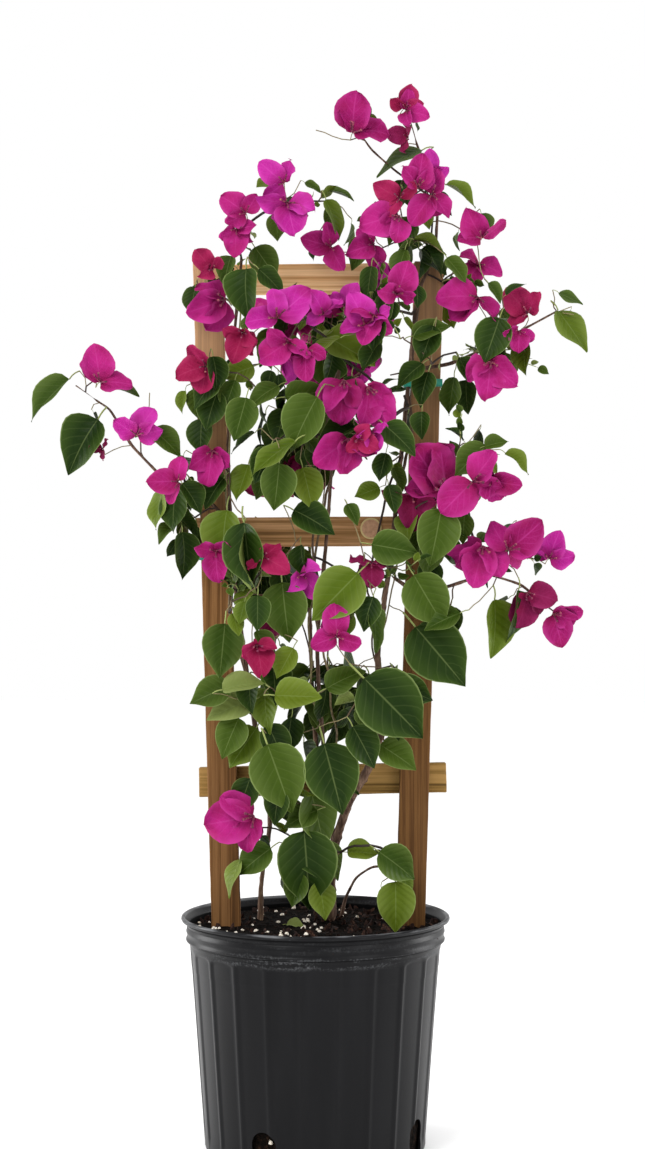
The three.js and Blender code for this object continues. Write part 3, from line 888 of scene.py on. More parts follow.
def barkMaterial(name, dark, middle, pale):
    # thin climbing wood: grey brown, with split fibres a few mm apart along it and paler scars
    material, add, place = newMaterial(name, {"Roughness": 0.85, "Specular IOR Level": 0.25})
    long = add("ShaderNodeMapping", {"Scale": (420, 420, 60)}, {"Vector": place})
    fibres = add("ShaderNodeTexNoise", {"Scale": 1.0, "Detail": 4, "Roughness": 0.6}, {"Vector": long})
    patches = add("ShaderNodeTexNoise", {"Scale": 38, "Detail": 3}, {"Vector": place})
    share = add("ShaderNodeMath", {"operation": "MULTIPLY", 1: 0.45}, {0: patches})
    mixed = add("ShaderNodeMath", {"operation": "MULTIPLY_ADD", 1: 0.55}, {0: fibres, 2: share})
    colour = add("ShaderNodeValToRGB", {"stops": [(0.36, dark), (0.5, middle), (0.64, pale)]}, {"Fac": mixed})
    bump = add("ShaderNodeBump", {"Strength": 0.7, "Distance": 0.0006}, {"Height": fibres})
    return finished(material, {"Base Color": colour, "Normal": bump})


def makeLimbs():
    courses = {name: limbCourse(name) for name in limbNames + ["stem_left"]}
    for name in limbNames[1:] + ["stem_left"]:
        courses[name] = [(p, r * limb["slim"]) for p, r in courses[name]]
    tubes = [barkTube(courses[name], limb["barkSeed"] + i) for i, name in enumerate(limbNames)]
    addPiece("trunk_and_boughs", joinedMesh("boughs", tubes),
             barkMaterial("weathered climbing wood", "2a1f19", "553f33", "846a58"), limbNames,
             crease=180)
    addPiece("left_stem", facedOut(barkTube(courses["stem_left"], limb["stemSeed"])),
             barkMaterial("fibrous pale stem", "3c2c24", "6b5343", "a08a6c"), ["stem_left"],
             crease=180)
    return courses


# rows run along a blade and columns across it
leafForm = {
    "rows": [0, 0.03, 0.1, 0.19, 0.29, 0.4, 0.51, 0.62, 0.72, 0.81, 0.89, 0.95, 1],
    "columns": [-1, -0.55, 0, 0.55, 1],
    "halfWidth": 0.385,      # of the length of the blade
    "stalk": 0.24,
    "stalkRadius": 0.016,
    "stalkColour": "8c9658",
    "lineColour": "84945a",
    "variants": 12,
    "veinWave": 44.0,        # radians to the length of the blade: seven side veins
    "seed": 21,
}
bractForm = {
    "rows": [0, 0.04, 0.13, 0.26, 0.42, 0.58, 0.73, 0.86, 0.95, 1],
    "columns": [-1, -0.66, -0.33, 0, 0.33, 0.66, 1],
    "halfWidth": 0.45,
    "variants": 14,
    "veinWave": 32.0,
    "seed": 33,
}
tubeForm = {
    # share of the length, radius as a share of the length
    "rings": [(0, 0.03), (0.12, 0.065), (0.34, 0.07), (0.55, 0.048), (0.86, 0.055), (1, 0.09)],
    "sides": 5,
    "variants": 2,
    "seed": 45,
}


# half the width of a broad leaf with a round base and a drawn-out tip, as a share of its widest
def leafWidth(t):
    return t ** 0.5 * (1 - t) ** 0.85 / 0.407 * (1 - 0.4 * smoothStep(0.65, 1, t)) if 0 < t < 1 else 0


# half the width of a papery bract, fuller at its base or at its tip, as a share of its widest
def bractWidth(t, base, tip):
    widest = base / (base + tip)
    return (t / widest) ** base * ((1 - t) / (1 - widest)) ** tip if 0 < t < 1 else 0


# a blade on its stalk: x across, y towards the tip, z the upper face; its own place on the blade
# (across -1 to 1, along 0 to 1, below 0 on the stalk) is kept for the veins
def bladeMesh(name, form, widthAt, heightAt, stalk):
    points = []
    places = []
    faces = []
    if stalk:
        sides = 3
        for row in range(4):
            t = row / 3 - 1
            for angle in roundTurn(sides):
                r = form["stalkRadius"]
                points.append((r * math.cos(angle), t * stalk * 1.02 + stalk,
                               r * math.sin(angle) + stalk * 0.12 * math.sin(math.pi * (t + 1))))
                places.append((0, t - 0.05, 0))
            if row:
                first = row * sides
                for k in range(sides):
                    j = (k + 1) % sides
                    faces.append((first - sides + k, first - sides + j, first + j, first + k))
    start = len(points)
    across = len(form["columns"])
    for t in form["rows"]:
        half = form["halfWidth"] * widthAt(t)
        points += [(c * half, t + stalk, heightAt(c, t)) for c in form["columns"]]
        places += [(c, t, 0) for c in form["columns"]]
    for row in range(len(form["rows"]) - 1):
        for a in range(start + row * across, start + row * across + across - 1):
            faces.append((a, a + 1, a + across + 1, a + across))
    mesh = newMesh(name, points, [], faces)
    keepAttribute(mesh, "bladePlace", "FLOAT_VECTOR", [c for p in places for c in p])
    return mesh


def leafShapes():
    draw = random.Random(leafForm["seed"])
    meshes = []
    for i in range(leafForm["variants"]):
        fold = draw.uniform(0.10, 0.55)
        bend = draw.uniform(0.04, 0.5)
        wave = draw.uniform(0.01, 0.045)
        phase = draw.uniform(0, 6)
        twist = draw.uniform(-0.16, 0.16)
        side = draw.uniform(-0.05, 0.05)

        def height(c, t):
            half = leafForm["halfWidth"] * leafWidth(t)
            rise = abs(c) * half * fold - bend * t * t * 0.7 + wave * abs(c) * math.sin(9 * t + phase + c)
            return rise + twist * c * half * t + side * t * (1 - t)

        meshes.append(bladeMesh(f"leaf{i}", leafForm, leafWidth, height, leafForm["stalk"]))
    return meshes


def bractShapes():
    draw = random.Random(bractForm["seed"])
    meshes = []
    for i in range(bractForm["variants"]):
        cup = draw.uniform(0.1, 0.75)
        curl = draw.uniform(-0.7, 0.5)
        ruffle = draw.uniform(0.035, 0.1)
        phase = draw.uniform(0, 6)
        pleat = draw.uniform(0.012, 0.03)
        buckle = draw.uniform(0.0, 0.07)
        base = draw.uniform(0.38, 0.52)
        tip = draw.uniform(0.52, 0.84)
        broad = draw.uniform(0.84, 1.1)

        def width(t):
            return broad * bractWidth(t, base, tip)

        def height(c, t):
            half = bractForm["halfWidth"] * width(t)
            rise = cup * (c * half) ** 2 * 2.4 + ruffle * abs(c) * math.sin(11 * t + phase + 2 * c)
            rise += pleat * math.cos(3 * math.pi * c) * math.sin(math.pi * t)
            rise += buckle * c * math.sin(6 * t + phase)
            return rise - curl * max(0, t - 0.45) ** 2 + 0.06 * math.sin(math.pi * t)

        meshes.append(bladeMesh(f"bract{i}", bractForm, width, height, 0))
    return meshes


def tubeShapes():
    draw = random.Random(tubeForm["seed"])
    meshes = []
    for i in range(tubeForm["variants"]):
        lean = draw.uniform(-0.12, 0.12)
        rings = [[Vector((r * math.cos(a) + lean * t * t, t, r * math.sin(a)))
                  for a in roundTurn(tubeForm["sides"])] for t, r in tubeForm["rings"]]
        meshes.append(facedOut(ringMesh(f"tube{i}", rings)))
    return meshes


# each leaf tone: base colour, second colour, and the paler colour of its margin
# the tones from dark to light are partly the leaves' own tones and partly painted shade and light, as leaves
# look in shade and in light
leafTones = {
    "dark": ("142508", "20320d", "445a20"),
    "mid": ("293c0c", "384a12", "607236"),
    "light": ("42540f", "536217", "7a8a40"),
    "young": ("5c6a30", "6e7a40", "8c965c"),
}
# each bract tone: base colour, second colour, and the paler colour of its veins and of the painted glow at
# its margin. Magenta is the bracts' own colour; the other three are the same magenta painted as it looks in
# full light, in shade and with light coming through its folds
bractTones = {
    "magenta": ("861053", "a61f72", "bc4494"),
    "bright": ("a01c7c", "b62f98", "c450a8"),
    "dark": ("6a0f38", "7e184a", "8f3060"),
    "crimson": ("84123c", "981e50", "a43c60"),
}
# the crimson of the painted shade in the throat of each bract
throatShadeColour = "7c0e34"


# what leaf and bract share: places across and along the blade, and two colours mixed by
# the blade's own tint and a mottle whose scale is in patches per metre
def bladeGround(add, place, scale, share, base, second):
    split = add("ShaderNodeSeparateXYZ", {}, {
        0: add("ShaderNodeAttribute", {"attribute_name": "bladePlace"}).outputs["Vector"]})
    across = add("ShaderNodeMath", {"operation": "ABSOLUTE"}, {0: split})
    tint = add("ShaderNodeAttribute", {"attribute_name": "tint"}).outputs["Fac"]
    mottle = add("ShaderNodeTexNoise", {"Scale": scale, "Detail": 3}, {"Vector": place})
    blend = add("ShaderNodeMath", {"operation": "MULTIPLY_ADD", "use_clamp": True, 1: share},
                {0: mottle, 2: tint})
    ground = add("ShaderNodeMix", {"data_type": "RGBA", 6: linear(base), 7: linear(second)}, {0: blend})
    return across, split.outputs["Y"], mottle, ground


# side veins that lean towards the tip: a wave along the blade, shifted by how far across it is
def sideVeins(add, across, along, lean, pace):
    leaning = add("ShaderNodeMath", {"operation": "MULTIPLY_ADD", 1: -lean}, {0: across, 2: along})
    wave = add("ShaderNodeMath", {"operation": "MULTIPLY", 1: pace}, {0: leaning})
    return add("ShaderNodeMath", {"operation": "SINE"}, {0: wave})


def leafSkin(tone, base, second, rib):
    # living leaf: waxy and softly glossy, with a pale midrib, faint side veins and a thin pale edge
    material, add, place = newMaterial(f"waxy {tone} leaf", {"Roughness": 0.45, "Specular IOR Level": 0.06})
    across, along, _, ground = bladeGround(add, place, 110, 0.6, base, second)
    # the blade grows paler towards its margin
    margin = add("ShaderNodeMapRange", {1: 0.35, 2: 1.0, 4: 0.42}, {0: across})
    blade = add("ShaderNodeMix", {"data_type": "RGBA", 7: linear(rib)}, {0: margin, 6: ground})
    ripple = sideVeins(add, across, along, 0.32, leafForm["veinWave"])
    veins = add("ShaderNodeMapRange", {1: 0.86, 2: 1.0, 4: 0.05}, {0: ripple})
    midrib = add("ShaderNodeMapRange", {1: 0.012, 2: 0.04, 3: 0.24, 4: 0.0}, {0: across})
    edge = add("ShaderNodeMapRange", {1: 0.93, 2: 1.0, 4: 0.6}, {0: across})
    lines = veins
    for line in (midrib, edge):
        lines = add("ShaderNodeMath", {"operation": "MAXIMUM"}, {0: lines, 1: line})
    lined = add("ShaderNodeMix", {"data_type": "RGBA", 7: linear(leafForm["lineColour"])},
                {0: lines, 6: blade})
    stalk = add("ShaderNodeMapRange", {1: -0.04, 2: 0.01, 3: 0.9, 4: 0.0}, {0: along})
    colour = add("ShaderNodeMix", {"data_type": "RGBA", 7: linear(leafForm["stalkColour"])},
                 {0: stalk, 6: lined})
    # the blade swells a little between its side veins
    bump = add("ShaderNodeBump", {"Strength": 0.2, "Distance": 0.001, "invert": True}, {"Height": ripple})
    return finished(material, {"Base Color": colour, "Normal": bump})


def bractPaper(tone, base, second, veinAndGlow):
    # papery bract: matt and thin, a net of fine veins from the midrib, crinkled between them
    material, add, place = newMaterial(f"papery {tone} bract", {"Roughness": 0.7, "Specular IOR Level": 0.08})
    across, along, crinkle, ground = bladeGround(add, place, 130, 0.5, base, second)
    net = add("ShaderNodeTexVoronoi", {"feature": "DISTANCE_TO_EDGE", "Scale": 330}, {"Vector": place})
    ripple = sideVeins(add, across, along, 0.5, bractForm["veinWave"])
    side = add("ShaderNodeMapRange", {1: 0.8, 2: 1.0, 4: 0.18}, {0: ripple})
    midrib = add("ShaderNodeMapRange", {1: 0.02, 2: 0.06, 3: 0.3, 4: 0.0}, {0: across})
    fine = add("ShaderNodeMapRange", {1: 0.0, 2: 0.06, 3: 0.16, 4: 0.0}, {0: net})
    margin = add("ShaderNodeMapRange", {1: 0.6, 2: 1.0, 4: 0.4}, {0: across})    # light comes through it
    lines = side
    for line in (midrib, fine, margin):
        lines = add("ShaderNodeMath", {"operation": "MAXIMUM"}, {0: lines, 1: line})
    colour = add("ShaderNodeMix", {"data_type": "RGBA", 7: linear(veinAndGlow)}, {0: lines, 6: ground})
    # painted shade: the throat by the stalk, where the bracts meet, is painted redder and darker, and so are
    # some patches placed at random
    throatShade = add("ShaderNodeMapRange", {1: 0.0, 2: 0.42, 3: 0.6, 4: 0.0}, {0: along})
    shadeMottle = add("ShaderNodeTexNoise", {"Scale": 34, "Detail": 2}, {"Vector": place})
    patchShade = add("ShaderNodeMapRange", {1: 0.5, 2: 0.68, 4: 0.4}, {0: shadeMottle})
    shadeShare = add("ShaderNodeMath", {"operation": "MAXIMUM"}, {0: throatShade, 1: patchShade})
    withPaintedShade = add("ShaderNodeMix", {"data_type": "RGBA", 7: linear(throatShadeColour)}, {0: shadeShare, 6: colour})
    bump = add("ShaderNodeBump", {"Strength": 0.9, "Distance": 0.0016}, {"Height": crinkle})
    return finished(material, {"Base Color": withPaintedShade, "Normal": bump})


def twigBark():
    # young wood: green and smooth at its end, brown and near black where it is old
    material, add, place = newMaterial("young climbing twig", {"Roughness": 0.65, "Specular IOR Level": 0.3})
    age = add("ShaderNodeAttribute", {"attribute_name": "age"}).outputs["Fac"]
    specks = add("ShaderNodeTexNoise", {"Scale": 300, "Detail": 3}, {"Vector": place})
    shifted = add("ShaderNodeMath", {"operation": "MULTIPLY_ADD", 1: 0.3}, {0: specks, 2: age})
    stops = [(0.15, "8c9658"), (0.32, "8a8258"), (0.5, "5f4c38"), (0.75, "3d2e24"), (1.0, "2a201a")]
    colour = add("ShaderNodeValToRGB", {"stops": stops}, {"Fac": shifted})
    return finished(material, {"Base Color": colour})


# slender true flower in the middle of its bract: downy, dark wine and green
def tubeSkin():
    return speckled("downy flower tube", {"Roughness": 0.8}, 420, 2,
                    [(0.35, "4a0f2c"), (0.55, "7a2048"), (0.7, "9c5a50")])


# For each mass: how many leaves, flower sprays and young shoots the rule deals out, the usual length
# of a leaf in mm, and the few large leaves and flowers that give it its look. A large leaf is (share
# across, share up, length in mm, bearing of its tip in degrees from +X, how far it is rolled from
# facing the front, tone), and a large flower is (share across, share up, length in mm and bearing
# of its largest bract, tone, and for some how far its two side bracts are turned from that one).
# A bare tip is a twig whose flower has dropped.
masses = {
    "tip_left": dict(leaves=1, length=18,
        bigFlowers=[(0.5, 0.12, 47, 84, "magenta", 22, -84)],
        bareTips=[(-0.25, 0.2)]),
    "tip_right": dict(leaves=1, length=16,
        bigFlowers=[(0.5, 0.6, 28, 345, "magenta"), (0.5, 0.65, 26, 75, "crimson"),
            (0.55, 0.2, 26, 170, "dark")]),
    "top_outer": dict(leaves=3, length=26,
        bigLeaves=[(0.4, 0.85, 38, 335, 62, "light")],
        bigFlowers=[(0.75, 0.25, 38, 120, "magenta")]),
    "tip_right_high": dict(leaves=1, length=14, shoots=1,
        bigLeaves=[(0.6, 0.25, 54, 305, 42, "light"), (0.55, 0.75, 28, 335, 50, "mid")]),
    "leaf_left_outer": dict(leaves=1, length=16,
        bigLeaves=[(0.15, 0.72, 58, 220, 50, "mid"), (0.65, 0.25, 64, 235, 20, "dark")],
        bigFlowers=[(0.95, 0.2, 16, 180, "dark")]),
    "flower_left": dict(leaves=1, length=18,
        bigLeaves=[(0.65, 0.3, 42, 350, 60, "mid")],
        bigFlowers=[(0.35, 0.35, 44, 98, "magenta", -105, 30)],
        bareTips=[(1.1, 0.2)]),
    "flower_left_inner": dict(leaves=1, length=20,
        bigLeaves=[(0.7, 0.25, 40, 325, 40, "mid")],
        bigFlowers=[(0.2, 0.35, 36, 58, "bright", 85, -45)]),
    "tip_right_low": dict(leaves=0, length=16,
        bigFlowers=[(0.25, 0.75, 40, 285, "magenta", 60, 85)]),
    "leaf_right_low": dict(leaves=2, length=24,
        bigLeaves=[(0.25, 0.4, 60, 275, 45, "light"), (0.6, 0.55, 54, 270, 60, "dark")],
        bigFlowers=[(0.75, 0.85, 42, 255, "dark", 48, 90)]),
    "foot_left": dict(leaves=2, length=28,
        bigLeaves=[(0.75, 0.2, 44, 215, 25, "mid"), (0.45, 0.0, 40, 240, 65, "light"),
            (0.62, 0.98, 38, 250, 10, "dark")],
        bigFlowers=[(0.76, 0.74, 57, 190, "magenta", -38, 66)]),
    "foot_right": dict(leaves=4, length=28,
        bigLeaves=[(-0.2, 0.9, 32, 5, 40, "light"), (0.5, 0.75, 48, 325, 15, "mid"),
            (0.45, 0.25, 52, 270, 5, "light")]),
    "foot_centre": dict(leaves=5, length=38,
        bigLeaves=[(0.5, 0.45, 80, 275, 5, "dark"), (0.7, 0.15, 40, 280, 25, "light"),
            (0.35, 0.25, 36, 250, 20, "mid"), (0.65, 0.9, 64, 285, 40, "mid")]),
    "top_middle": dict(leaves=3, length=24,
        bigLeaves=[(0.6, 0.95, 28, 350, 70, "mid"), (0.5, 0.6, 44, 295, 55, "light"),
            (0.85, 0.2, 36, 235, 20, "mid")],
        bigFlowers=[(0.45, 0.25, 36, 165, "magenta", -60, 130)]),
    "top_left": dict(leaves=4, length=28, shoots=1,
        bigLeaves=[(0.95, 0.75, 20, 330, 50, "mid"), (0.45, -0.05, 40, 305, 5, "mid")],
        bigFlowers=[(0.65, 0.7, 36, 140, "bright", 75, -72), (0.68, 0.5, 42, 282, "bright", -110, 60),
            (0.25, 0.4, 34, 145, "magenta", -85, 60), (0.15, 0.25, 32, 265, "magenta", 100, -60)]),
    "top_right": dict(leaves=6, length=30, shoots=1,
        bigLeaves=[(0.4, 0.95, 52, 195, 60, "mid"), (0.5, 0.1, 36, 200, 60, "mid"),
            (0.75, 0.15, 36, 350, 65, "light"), (0.8, 0.0, 36, 315, 55, "dark"),
            (0.45, -0.05, 40, 250, 55, "mid"), (0.65, -0.05, 34, 285, 65, "dark")],
        bigFlowers=[(0.75, 0.75, 28, 95, "bright"), (0.6, 0.6, 38, 80, "magenta", 50, -30),
            (0.4, 0.5, 34, 150, "crimson"), (0.75, 0.55, 42, 235, "magenta", 70, -160),
            (0.4, 0.35, 46, 195, "magenta", 28, 68), (0.14, 0.12, 34, 200, "magenta", -60, 70)]),
    "shoulder_left": dict(leaves=4, length=26,
        bigLeaves=[(1.0, 0.85, 32, 250, 30, "mid")],
        bigFlowers=[(0.75, 0.8, 30, 130, "crimson"), (1.0, 0.45, 48, 200, "magenta", 40, -45)]),
    "shoulder_right": dict(leaves=5, length=28, shoots=1,
        bigLeaves=[(0.05, 0.8, 38, 320, 45, "dark"), (0.45, 0.65, 32, 310, 40, "mid")],
        bigFlowers=[(0.9, 0.8, 36, 240, "magenta"), (0.85, 0.3, 48, 180, "magenta", 45, 120)]),
    "right_spray": dict(leaves=8, length=28, shoots=7,
        bigLeaves=[(0.46, 0.52, 50, 250, 10, "dark"), (0.8, 0.4, 36, 265, 45, "light"),
            (0.5, 0.9, 24, 310, 45, "mid"), (0.05, 0.1, 40, 260, 50, "mid"),
            (0.2, 0.3, 28, 300, 30, "dark")],
        bigFlowers=[(0.85, 0.75, 38, 130, "crimson"), (0.75, 0.6, 28, 265, "magenta"),
            (0.45, 0.36, 48, 262, "magenta", -48, 52)]),
    "upper_right": dict(leaves=6, length=30, sprays=1, shoots=4,
        bigLeaves=[(0.6, 0.95, 32, 250, 40, "mid"), (0.25, 0.75, 36, 260, 45, "dark"),
            (0.9, 0.15, 40, 250, 20, "dark"), (0.95, 0.3, 40, 20, 40, "mid"),
            (0.05, 0.1, 60, 330, 35, "light"), (0.31, 0.22, 36, 255, 25, "dark"),
            (0.42, 0.46, 32, 280, 40, "dark"), (0.26, 0.02, 34, 240, 30, "dark")],
        bigFlowers=[(0.2, 0.3, 40, 115, "bright"), (0.3, 0.4, 36, 250, "magenta"),
            (0.55, 0.6, 40, 70, "magenta")]),
    "upper_centre": dict(leaves=8, length=30, shoots=2,
        bigLeaves=[(0.1, 0.9, 52, 265, 30, "dark"), (0.35, 1.0, 36, 320, 35, "dark"),
            (0.8, 0.45, 36, 200, 68, "light"), (0.65, 0.05, 44, 10, 30, "mid"),
            (0.25, 0.05, 40, 205, 45, "mid")],
        bigFlowers=[(0.4, 0.65, 48, 40, "bright", 60, 150), (0.8, 0.7, 30, 120, "bright"),
            (0.1, 0.55, 36, 250, "crimson"), (0.5, 0.45, 42, 215, "magenta"),
            (0.65, 0.4, 36, 270, "magenta"), (0.98, 0.8, 30, 60, "bright", 70, -80)]),
    "upper_back": dict(leaves=26, length=38, sprays=9, shoots=3),
    "left_column": dict(leaves=6, length=30, shoots=1,
        bigLeaves=[(0.85, 0.65, 36, 200, 10, "light"), (0.1, 0.25, 24, 255, 45, "light"),
            (0.5, 0.1, 42, 250, 20, "dark"), (0.6, 0.6, 36, 285, 40, "dark"),
            (0.42, 0.35, 38, 225, 35, "dark"), (0.75, 0.3, 34, 250, 30, "mid"),
            (0.35, -0.25, 38, 265, 25, "dark")],
        bigFlowers=[(0.45, 0.7, 36, 200, "crimson")]),
    "left_hang": dict(leaves=6, length=30,
        bigLeaves=[(0.05, 0.7, 42, 260, 55, "light"), (0.4, 0.7, 46, 260, 35, "dark"),
            (0.7, 0.25, 48, 280, 45, "dark")]),
    "left_middle": dict(leaves=5, length=30, shoots=2,
        bigLeaves=[(0.5, 0.15, 36, 310, 40, "dark"), (0.7, 0.25, 36, 230, 30, "dark")],
        bigFlowers=[(0.7, 0.95, 42, 265, "magenta", -50, 58), (0.35, 0.4, 36, 182, "magenta", -100, 70)]),
    "right_middle": dict(leaves=7, length=30, shoots=2,
        bigLeaves=[(0.55, 0.55, 44, 220, 20, "mid"), (0.75, 0.75, 24, 20, 35, "mid"),
            (0.95, 0.55, 32, 330, 55, "light")],
        bigFlowers=[(0.35, 0.2, 66, 130, "magenta", -30, 48), (0.56, 0.29, 50, 225, "magenta", 125, 185),
            (0.7, 0.3, 36, 350, "magenta"), (0.1, 0.15, 42, 270, "dark")]),
    "right_flowers": dict(leaves=4, length=24, shoots=2,
        bigLeaves=[(0.15, 0.85, 32, 265, 20, "mid")],
        bigFlowers=[(0.3, 0.65, 50, 255, "magenta", -40, 45), (0.5, 0.6, 50, 40, "magenta", -35, 80),
            (0.85, 0.5, 34, 70, "bright", -65, 70)]),
    "centre_right": dict(leaves=9, length=30, shoots=3,
        bigLeaves=[(0.85, 0.9, 36, 215, 40, "dark"), (1.0, 0.8, 36, 250, 30, "dark"),
            (0.75, 0.45, 44, 320, 30, "dark"), (0.2, 0.75, 40, 260, 50, "dark"),
            (0.4, 0.1, 28, 200, 20, "light"), (0.25, -0.05, 24, 300, 30, "mid"),
            (0.98, 0.55, 28, 265, 20, "dark"), (0.56, 0.26, 30, 255, 30, "dark"),
            (0.67, 0.05, 30, 285, 35, "dark")],
        bigFlowers=[(0.15, 0.85, 50, 265, "magenta", -32, 40), (0.4, 0.8, 54, 300, "magenta", -38, 22),
            (0.2, 0.45, 48, 215, "magenta", 38, 118), (0.45, 0.5, 24, 280, "bright"),
            (0.3, 0.45, 26, 330, "crimson")]),
    "centre_left": dict(leaves=9, length=34, shoots=2,
        bigLeaves=[(0.7, 0.7, 62, 240, 20, "mid"), (0.2, 0.75, 44, 255, 5, "mid"),
            (0.95, 0.6, 52, 205, 55, "dark"), (0.2, 0.25, 40, 250, 35, "light"),
            (0.5, 0.2, 48, 265, 10, "mid"), (0.75, 0.2, 44, 285, 15, "light"),
            (0.45, 0.45, 56, 210, 65, "light"), (0.8, -0.05, 48, 335, 25, "dark")]),
    "centre_back": dict(leaves=24, length=40, sprays=5, shoots=2),
    "right_low": dict(leaves=9, length=36, shoots=1,
        bigLeaves=[(0.6, 0.55, 58, 260, 5, "mid"), (0.2, 0.45, 48, 350, 5, "mid")]),
    "right_hang": dict(leaves=5, length=32,
        bigLeaves=[(0.3, 0.75, 62, 300, 5, "mid"), (0.5, 0.3, 80, 310, 5, "dark"),
            (0.5, 0.6, 40, 200, 45, "mid")]),
    "middle": dict(leaves=4, length=30, shoots=2,
        bigLeaves=[(0.35, 0.5, 66, 225, 5, "light"), (0.7, 0.35, 36, 250, 20, "dark"),
            (0.8, 0.2, 48, 275, 60, "mid")],
        bigFlowers=[(0.75, 0.8, 30, 270, "dark"), (0.37, 0.14, 38, 92, "magenta", 108, -108)]),
    "left_inner": dict(leaves=7, length=32, shoots=3,
        bigLeaves=[(0.2, 0.95, 62, 260, 30, "light"), (0.45, 0.8, 68, 275, 35, "dark"),
            (0.4, 0.75, 60, 265, 70, "young"), (0.95, 0.75, 36, 270, 50, "dark"),
            (0.8, 0.3, 62, 275, 5, "mid"), (0.55, 0.3, 36, 270, 20, "dark"),
            (0.4, 0.3, 24, 255, 20, "light"), (0.35, 0.2, 24, 285, 25, "light")],
        bigFlowers=[(0.15, 0.85, 36, 275, "magenta"), (0.6, 0.8, 34, 330, "crimson"),
            (0.95, 0.65, 36, 310, "bright")]),
    "middle_back": dict(leaves=22, length=42, sprays=2, shoots=2),
    "lower_left": dict(leaves=9, length=38, shoots=4,
        bigLeaves=[(0.15, 0.85, 56, 265, 5, "mid"), (0.05, 0.5, 44, 200, 20, "mid"),
            (0.45, 0.9, 32, 300, 40, "mid"), (0.6, 0.75, 36, 240, 25, "light"),
            (0.2, 0.4, 50, 195, 35, "young"), (0.3, 0.6, 44, 20, 55, "young"),
            (0.7, 0.5, 48, 0, 35, "light"), (0.2, 0.15, 44, 245, 10, "mid"),
            (0.55, 0.1, 44, 300, 25, "dark")],
        bigFlowers=[(0.4, 0.9, 38, 280, "crimson")]),
    "lower_right": dict(leaves=8, length=38, shoots=1,
        bigLeaves=[(0.65, 0.6, 86, 315, 5, "dark"), (0.7, 0.1, 44, 330, 25, "mid"),
            (0.35, 0.2, 48, 300, 20, "dark"), (0.15, 0.9, 44, 30, 35, "mid"),
            (0.85, 0.75, 44, 340, 15, "dark")]),
    "lower_back": dict(leaves=20, length=44, shoots=2),
    "low_front": dict(leaves=7, length=42, shoots=2,
        bigLeaves=[(0.2, 0.9, 50, 235, 20, "light"), (0.45, 0.6, 74, 290, 5, "mid"),
            (0.8, 0.6, 74, 285, 10, "dark"), (0.58, 0.18, 38, 200, 35, "mid"),
            (0.42, 0.3, 36, 255, 20, "dark")]),
}
growth = {
    "seed": 5,
    "spacing": 9 * mm,       # between the points of a twig
    "finest": 0.55 * mm,     # radius of a twig that carries one leaf
    "thickening": 0.36,      # power of the number of leaves beyond
    "thickest": 2.3 * mm,
    "wander": 3.5 * mm,
    "startPull": 0.8,        # how much a new twig keeps to the way of the wood that it leaves
    "curve": 0.36,           # of its length, before and after its bend
    "sideLeaf": 0.27,        # chance of a small leaf at each joint of a twig
    "sideLeafLength": (10, 24),
    # dark is dealt most often, as painted shade deep in the crown
    "leafTones": ["dark"] * 9 + ["mid"] * 5 + ["light"],
    "youngTones": ["light", "mid", "mid", "dark", "young"],
    # besides magenta, these tones are painted light, painted shade and painted glow
    "bractTones": ["magenta"] * 6 + ["bright"] * 2 + ["dark"] * 2 + ["crimson"] * 2,
    "tints": (-0.3, 0.7),
    "shootJoints": 5,
    "shootStep": 7 * mm,
    "shootLeaf": (7, 14),
    "fallenLeaf": (-34 * mm, -4 * mm),
    "fallenLength": 19 * mm,
    "goldenAngle": 2.39996,
    "clear": 0.46,           # share of a large leaf's or flower's length kept clear around its middle
    "clearFront": -70 * mm,  # how far before it small leaves are kept away
    "clearBack": 10 * mm,
    "setBack": 30 * mm,      # how far a small leaf is moved back out of its way
    "flowersAhead": 8 * mm,  # large flowers stand this far before the large leaves
    "backBegins": 30 * mm,   # a mass whose middle is past this faces the back
    "margin": (2 * mm, -9 * mm, 2 * mm),      # how far blades may reach out of the CAD box in x, y and z
}
cane = {
    "counts": {"bough_right": 3, "bough_left": 1, "bough_centre": 2, "bough_back": 2, "bough_top": 1},
    "points": 3,             # one at every third point of its bough
    "turns": (-1.2, 1.2),    # round its bough
    "away": (6, 20),         # mm from its bough at its middle
    "stoutness": (1.0, 1.6), # mm of radius at its foot
    "age": (0.35, 0.9),
}
flower = {
    "pedicel": 12 * mm,
    "pedicelRadius": 0.5 * mm,
    "heart": 0.8 * mm,       # radius of the place where its bracts meet
    "width": (38, 56),       # mm, of a flower that the rule deals out
    "openness": (0.4, 1.25), # radians between its axis and its bracts
    "uneven": (-0.2, 0.2),   # radians by which a bract is out of its place
    "sideTurns": (60, 110),  # degrees from the largest bract of a large flower
    "tubeLength": 0.36,      # of a large flower's
}
forwards = Vector((0, -1, 0))


def unit(draw):
    while True:
        v = Vector((draw.uniform(-1, 1), draw.uniform(-1, 1), draw.uniform(-1, 1)))
        if 0.05 < v.length < 1:
            return v.normalized()


def rotated(vector, angle, axis):
    turned = vector.copy()
    turned.rotate(Matrix.Rotation(angle, 3, axis))
    return turned


# a turn that lays a blade's length on one direction and its face as near as can be to another
def bladeTurn(towards, face):
    y = towards.normalized()
    z = face - y * face.dot(y)
    if z.length < 1e-3:
        z = y.orthogonal()
    z.normalize()
    return Matrix((y.cross(z), y, z)).transposed()


